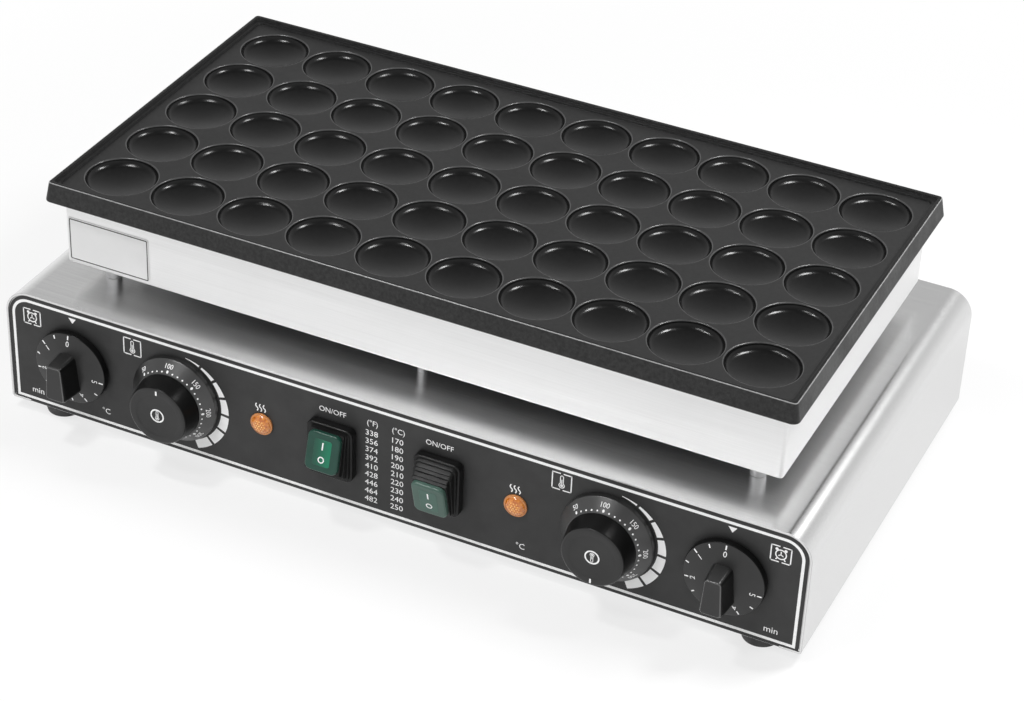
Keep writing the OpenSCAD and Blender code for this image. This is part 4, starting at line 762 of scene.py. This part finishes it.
def arc(r, line, start=0.0, sweep=360.0, x=0.0, y=0.0, steps=32):
    """Ring or part of one, as wide as its line, that runs anticlockwise from a start angle."""
    bm = bmesh.new()
    ends = [bm.verts.new((r - line / 2, 0, 0)), bm.verts.new((r + line / 2, 0, 0))]
    edge = bm.edges.new(ends)
    bmesh.ops.spin(bm, geom=ends + [edge], cent=(0, 0, 0), axis=(0, 0, 1), dvec=(0, 0, 0),
                   angle=math.radians(sweep), steps=steps, use_merge=sweep >= 360, use_duplicate=False)
    bmesh.ops.remove_doubles(bm, verts=bm.verts, dist=1e-4)
    return place(bm, Matrix.Translation((x, y, 0)) @ Matrix.Rotation(math.radians(start), 4, "Z"))


def lettering(words, tall, squeeze=1.0):
    """Printed characters, centred, as tall as given and squeezed or stretched along the line."""
    curve = bpy.data.curves.new("characters", "FONT")
    curve.body, curve.resolution_u = words, 3
    holder = bpy.data.objects.new("characters", curve)
    scene.collection.objects.link(holder)
    bpy.context.view_layer.update()
    mesh = bpy.data.meshes.new_from_object(holder.evaluated_get(bpy.context.evaluated_depsgraph_get()))
    bm = bmesh.new()
    bm.from_mesh(mesh)
    bpy.data.objects.remove(holder)
    bpy.data.curves.remove(curve)
    bpy.data.meshes.remove(mesh)
    low = Vector([min(v.co[i] for v in bm.verts) for i in range(3)])
    high = Vector([max(v.co[i] for v in bm.verts) for i in range(3)])
    size = tall / (high.y - low.y)
    return place(bm, Matrix.Diagonal((size * squeeze, size, size, 1)) @ Matrix.Translation(-(low + high) / 2))


def raised(bm, height=INK):
    """Give flat printing the thickness of its ink."""
    bmesh.ops.recalc_face_normals(bm, faces=bm.faces)
    grow(bm, bm.faces[:], height)
    bmesh.ops.recalc_face_normals(bm, faces=bm.faces)
    return bm


def brackets(bm, w, d, x, y):
    """Frame that is open in the middle of its top and bottom."""
    line, gap = 0.75, 1.8
    length = (w - gap) / 2
    for sign in (-1, 1):
        join(bm, bar(line, d, x + sign * (w - line) / 2, y))
        for level in (-1, 1):
            join(bm, bar(length, line, x + sign * (w - length) / 2, y + level * (d - line) / 2))


def clock_sign(bm, x, y):
    """Alarm clock in brackets."""
    brackets(bm, 13, 11.7, x, y)
    join(bm, arc(3.2, 0.75, x=x, y=y - 0.1))
    for sign in (-1, 1):
        join(bm, disc(1.0, x + sign * 2.7, y + 3.2, 14))
        join(bm, bar(0.8, 1.5, x + sign * 2.5, y - 3.5, sign * 38))
        join(bm, bar(0.65, 1.9, x + sign * 0.75, y - 0.65, sign * 58))
    join(bm, bar(0.65, 2.2, x, y + 0.9))


def thermometer(bm, x, y, size=1.0, turn=0.0):
    """Bulb and tube with a filled middle."""
    sign = bmesh.new()
    bulb, tube = -2.4, 0.95
    join(sign, arc(1.7, 0.55, 120, 300, 0, bulb, 24))
    join(sign, disc(0.95, 0, bulb))
    for side in (-1, 1):
        join(sign, bar(0.5, 4.6, side * tube, 1.3))
    join(sign, arc(tube, 0.5, 0, 180, 0, 3.6, 12))
    join(sign, bar(0.55, 4.2, 0, -0.3))
    join(bm, sign, Matrix.Translation((x, y, 0)) @ Matrix.Rotation(math.radians(turn), 4, "Z")
         @ Matrix.Scale(size, 4))


def heat_sign(bm, x, y):
    """Three rising waves."""
    r, line = 1.5, 0.75
    for shift in (-2.6, 0, 2.6):
        join(bm, arc(r, line, -60, 120, x + shift - r / 2, y - 1.3, 10))
        join(bm, arc(r, line, 120, 120, x + shift + r / 2, y + 1.3, 10))


def ramp_sign(bm, x, y):
    """Seven pieces of a ring that grows thicker clockwise around a thermostat."""
    inner, outer, shift, thinnest = 31.2, 33.7, Vector((2.7, -2.7)), 0.35
    start, end, gap, strips, steps = 12.0, 158.0, 3.2, 7, 6
    step = (end - start + gap) / strips
    for number in range(strips):
        first = start + number * step
        strip = bmesh.new()
        rows = [[], []]
        for k in range(steps + 1):
            angle = math.radians(90 - first - (step - gap) * k / steps)
            way = Vector((math.cos(angle), math.sin(angle)))
            along = way.dot(shift)
            far = along + math.sqrt(outer ** 2 - shift.length_squared + along ** 2)
            rows[0].append(strip.verts.new((*(way * inner), 0)))
            rows[1].append(strip.verts.new((*(way * max(far, inner + thinnest)), 0)))
        lines = [strip.edges.new(pair) for row in rows for pair in zip(row, row[1:])]
        bmesh.ops.bridge_loops(strip, edges=lines)
        join(bm, strip, Matrix.Translation((x, y, 0)))


def border(bm):
    """White line that follows the panel's outline."""
    line = bmesh.new()
    w, low, high, bend, thick = 531.4, 10.7, 86.1, 12.6, 1.9
    ends = [line.verts.new((x * w / 2, y, 0)) for x, y in ((-1, low), (1, low), (1, high), (-1, high))]
    line.faces.new(ends)
    bmesh.ops.bevel(line, geom=ends[2:], offset=bend, offset_type="OFFSET", segments=14, profile=0.5,
                    affect="VERTICES", clamp_overlap=False, material=-1)
    inside = step_in(line, line.faces[:1], thick)
    bmesh.ops.delete(line, geom=inside, context="FACES")
    join(bm, line)


def panel_print():
    """Everything that is printed on the panel's film, drawn with X to the right and Y up from the floor."""
    bm = bmesh.new()
    border(bm)
    for sign in (-1, 1):
        clock_sign(bm, sign * 251, 74)
        pointer = bmesh.new()
        tips = ((-2.7, 82.4), (0, 78.6), (2.7, 82.4))
        pointer.faces.new([pointer.verts.new((sign * 221 + x, y, 0)) for x, y in tips])
        join(bm, pointer)
        join(bm, lettering("min", 4.0), Matrix.Translation((sign * 250, 18.5, 0)))
        heat_sign(bm, sign * 86 - 0.9, 60.4)
        join(bm, lettering("ON/OFF", 3.6), Matrix.Translation((sign * 36 - 1, 74.6, 0)))
        ramp_sign(bm, sign * STAT_X, AXIS_Z)
    for x, y, mark in ((-177.6, 75.3, -199), (114.4, 76.2, 90)):
        brackets(bm, 13, 12.4, x, y)
        thermometer(bm, x, y - 0.2)
        join(bm, lettering("°C", 4.2), Matrix.Translation((mark, 20, 0)))
    for x, heading in ((-10, "(°F)"), (7.5, "(°C)")):
        join(bm, lettering(heading, 5.2, 0.95), Matrix.Translation((x, 74.6, 0)))
    top, pitch = 67.7, 6.13
    for row in range(9):
        for x, heat in ((-10.4, 338 + 18 * row), (7.1, 170 + 10 * row)):
            join(bm, lettering(str(heat), 3.9, 1.06), Matrix.Translation((x, top - pitch * row, 0)))
    raised(bm)
    place(bm, Matrix.Translation((0, FILM_Y + 0.01, 0)) @ Matrix.Rotation(math.pi / 2, 4, "X"))
    return piece("panel_print", bm, ink, "base", even=False)


def on_slope(bm, radius, angle):
    """Lay flat printing on the scale ring's slope, at a radius and an angle clockwise from the top."""
    height = RING_TOP[1] + (radius - RING_TOP[0]) * SLOPE.y / SLOPE.x
    for vert in bm.verts:
        x, y, z = vert.co
        far = radius + y * SLOPE.x - z * SLOPE.y
        turn = math.radians(90 - angle) - x / radius
        vert.co = (far * math.cos(turn), far * math.sin(turn), height + y * SLOPE.y + z * SLOPE.x)
    return bm


def ring_print(side, sign):
    """Temperatures on a scale ring, clockwise, with a long dot at each and four small ones between."""
    bm = bmesh.new()
    first, step, figures, parts = -46, 44.8, 6, 5
    for number in range(figures):
        angle = first + step * number
        join(bm, on_slope(raised(lettering(str(50 + 50 * number), 3.1, 0.95)), 26.5, angle))
        long_dot = raised(disc(0.75, steps=14))
        bmesh.ops.scale(long_dot, vec=(1, 1.35, 1), verts=long_dot.verts)
        join(bm, on_slope(long_dot, 23.9, angle))
        for small in range(1, parts if number + 1 < figures else 1):
            join(bm, on_slope(raised(disc(0.55, steps=12)), 23.6, angle + step * small / parts))
    place(bm, front(sign * STAT_X))
    return piece("ring_print_" + side, bm, ink, "base", even=False)


def knob_print(side, sign):
    """Thermometer in a circle on a knob's face, and an index mark on its rim."""
    bm = bmesh.new()
    turn = 0 if sign < 0 else 180
    join(bm, arc(4.3, 0.95))
    thermometer(bm, 0, 0, 0.74, turn)
    raised(bm)
    index = raised(bar(1.1, 3.0, 0, 16.9))
    join(bm, index, Matrix.Rotation(math.radians(turn), 4, "Z")
         @ Matrix.Translation((0, 0, KNOB_RIM - KNOB_FACE)))
    place(bm, front(sign * STAT_X, h=KNOB_FACE))
    return piece("knob_print_" + side, bm, ink, "thermostat_" + side, even=False)


def dial_print(side, sign):
    """Minute marks on a timer's dial, rising anticlockwise from the top."""
    bm = bmesh.new()
    slope, step = math.atan(DIAL_FALL), 26

    def put(shape, radius, angle):
        """Lay a mark on the dial's cone, at a radius and an angle anticlockwise from the top."""
        height = DIAL_TOP - (radius - DIAL_FLAT) * DIAL_FALL
        spot = (Matrix.Rotation(math.radians(angle), 4, "Z") @ Matrix.Translation((0, radius, height))
                @ Matrix.Rotation(-slope, 4, "X"))
        join(bm, raised(shape), spot)

    for half in range(11):
        whole = half % 2 == 0
        put(bar(0.85, 2.8 if whole else 2.3), 23.0, step * half)
        if whole:
            put(lettering(str(half // 2), 3.6), 18.9, step * half)
    place(bm, front(sign * TIMER_X))
    return piece("dial_print_" + side, bm, ink, "timer_" + side, even=False)


# Making the pieces

baking_plate()
plate_skirt()
base_wrap()
posts()
feet()
bare_label()
panel_print()
for side, sign in SIDES:
    timer_dial(side, sign)
    dial_print(side, sign)
    scale_ring(side, sign)
    ring_print(side, sign)
    heat_knob(side, sign)
    knob_print(side, sign)
    lamp(side, sign)
    switch_frame(side, sign)
    key_boot(side, sign)
rocker_key("left", -1, key_lit, key_window_lit)
# The right key is unlit; its paler pad and window are painted reflection
rocker_key("right", 1, key_off_painted_reflection, key_window_off_painted_reflection)

# Finishes of the nodes that are shown as they are
KEPT = {
    film: ["panel_overlay"],
    panel_steel: ["front_panel", "rear_panel"],
    zinc: ["heat_shield", "bottom_plate", "element_clamps", "clamp_screws", "stud_nuts", "rear_panel_screws",
           "bottom_plate_screws", "foot_screws", "foot_nuts", "timer_screws", "thermostat_screws"],
    post_steel: ["plate_studs", "wiring_sleeve"],
    fibre: ["insulation_blanket"],
    sheath: ["heating_element_left", "heating_element_right"],
    ceramic: ["terminal_block", "lamp_body_left", "lamp_body_right"],
    copper: ["earth_stud", "thermostat_sensor_left", "thermostat_sensor_right"],
    gland_black: ["cable_gland_body", "cable_gland_nut", "cable_gland_locknut"],
    rubber: ["cable_gland_seal"],
}
for side, _ in SIDES:
    KEPT[zinc] += [kind + side for kind in
                   ("timer_body_", "timer_shaft_", "thermostat_body_", "thermostat_shaft_")]
for material, nodes in KEPT.items():
    for name in nodes:
        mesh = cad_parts[name].data
        mesh.materials.clear()
        mesh.materials.append(material)


# Studio

def studio_floor():
    """Pale floor that looks white to the eye and in reflections, and is a little darker under the machine."""
    floor = bmesh.new()
    bmesh.ops.create_grid(floor, x_segments=1, y_segments=1, size=6000)
    bmesh.ops.scale(floor, vec=(MM, MM, MM), verts=floor.verts)
    mesh = bpy.data.meshes.new("floor")
    floor.to_mesh(mesh)
    floor.free()
    paper = Finish("pale_floor", Roughness=0.9, Specular_IOR_Level=0.0)
    paper.colour(paper.noise(3.0, 2.0), 0.2, 0.8, grey(0.76), grey(0.78))
    sight = paper.node("ShaderNodeLightPath").outputs
    seen = paper.maths("MAXIMUM", sight["Is Camera Ray"], sight["Is Glossy Ray"])
    seen = paper.maths("MAXIMUM", seen, sight["Is Transmission Ray"])
    reach = paper.node("ShaderNodeVectorMath", operation="LENGTH")
    paper.wire(paper.spot(), reach.inputs[0])
    share = paper.maths("MULTIPLY", seen, paper.spread(reach.outputs["Value"], 0.3, 0.7, 0.72, 1.0))
    white = paper.node("ShaderNodeEmission", Strength=1.0)
    mix = paper.node("ShaderNodeMixShader")
    paper.wire(share, mix.inputs[0])
    paper.wire(paper.shader.outputs[0], mix.inputs[1])
    paper.wire(white.outputs[0], mix.inputs[2])
    paper.wire(mix.outputs[0], paper.tree.nodes["Material Output"].inputs["Surface"])
    mesh.materials.append(paper.material)
    obj = bpy.data.objects.new("floor", mesh)
    scene.collection.objects.link(obj)


def studio_sky():
    """White all round, and grey overhead."""
    world = bpy.data.worlds.new("studio")
    scene.world = world
    world.use_nodes = True
    tree = world.node_tree
    tree.nodes.clear()
    direction = tree.nodes.new("ShaderNodeTexCoord")
    height = tree.nodes.new("ShaderNodeSeparateXYZ")
    tree.links.new(direction.outputs["Generated"], height.inputs[0])
    fade = tree.nodes.new("ShaderNodeValToRGB")
    low, high = fade.color_ramp.elements[0], fade.color_ramp.elements[1]
    low.position, low.color = 0.05, (*grey(1.0), 1)
    high.position, high.color = 0.9, (*grey(0.2), 1)
    fade.color_ramp.elements.new(0.55).color = (*grey(0.62), 1)
    tree.links.new(height.outputs["Z"], fade.inputs["Fac"])
    sky = tree.nodes.new("ShaderNodeBackground")
    sky.inputs["Strength"].default_value = 1.0
    tree.links.new(fade.outputs["Color"], sky.inputs["Color"])
    out = tree.nodes.new("ShaderNodeOutputWorld")
    tree.links.new(sky.outputs[0], out.inputs["Surface"])


def studio_lights():
    """Square lamps that face the machine, each with its direction, distance, size and power."""
    middle = Vector((0, 0, 0.1))
    for name, way, far, size, power in (
            ("back_light", (0.53, 0.22, 0.82), 1.1, 0.26, 10),
            ("top_light", (-0.356, -0.32, 0.878), 1.1, 0.13, 4.5),
            ("front_light", (-0.21, -0.52, 0.83), 2.2, 0.42, 10.5)):
        lamp_data = bpy.data.lights.new(name, "AREA")
        lamp_data.shape, lamp_data.size, lamp_data.energy = "SQUARE", size, power
        lamp_object = bpy.data.objects.new(name, lamp_data)
        lamp_object.location = Vector(way).normalized() * far + middle
        lamp_object.rotation_euler = (-Vector(way)).to_track_quat("-Z", "Y").to_euler()
        scene.collection.objects.link(lamp_object)


def camera():
    """Camera at the photograph's place: from the front right, raised, with a slight roll."""
    turn, rise, roll = (math.radians(angle) for angle in (24.2395, 34.0597, 2.603))
    aim, distance = Vector((13.833, 0, 49.689)) * MM, 1.7779
    back = Vector((math.sin(turn) * math.cos(rise), -math.cos(turn) * math.cos(rise), math.sin(rise)))
    right = Vector((0, 0, 1)).cross(back).normalized()
    up = back.cross(right)
    across = math.cos(roll) * right + math.sin(roll) * up
    upright = -math.sin(roll) * right + math.cos(roll) * up
    data = bpy.data.cameras.new("camera")
    data.sensor_fit, data.sensor_width, data.lens = "HORIZONTAL", 36.0, 98.08
    data.clip_start, data.clip_end = 0.05, 50
    obj = bpy.data.objects.new("camera", data)
    pose = Matrix((across, upright, back)).transposed().to_4x4()
    pose.translation = aim + back * distance
    obj.matrix_world = pose
    scene.collection.objects.link(obj)
    scene.camera = obj


studio_floor()
studio_sky()
studio_lights()
camera()
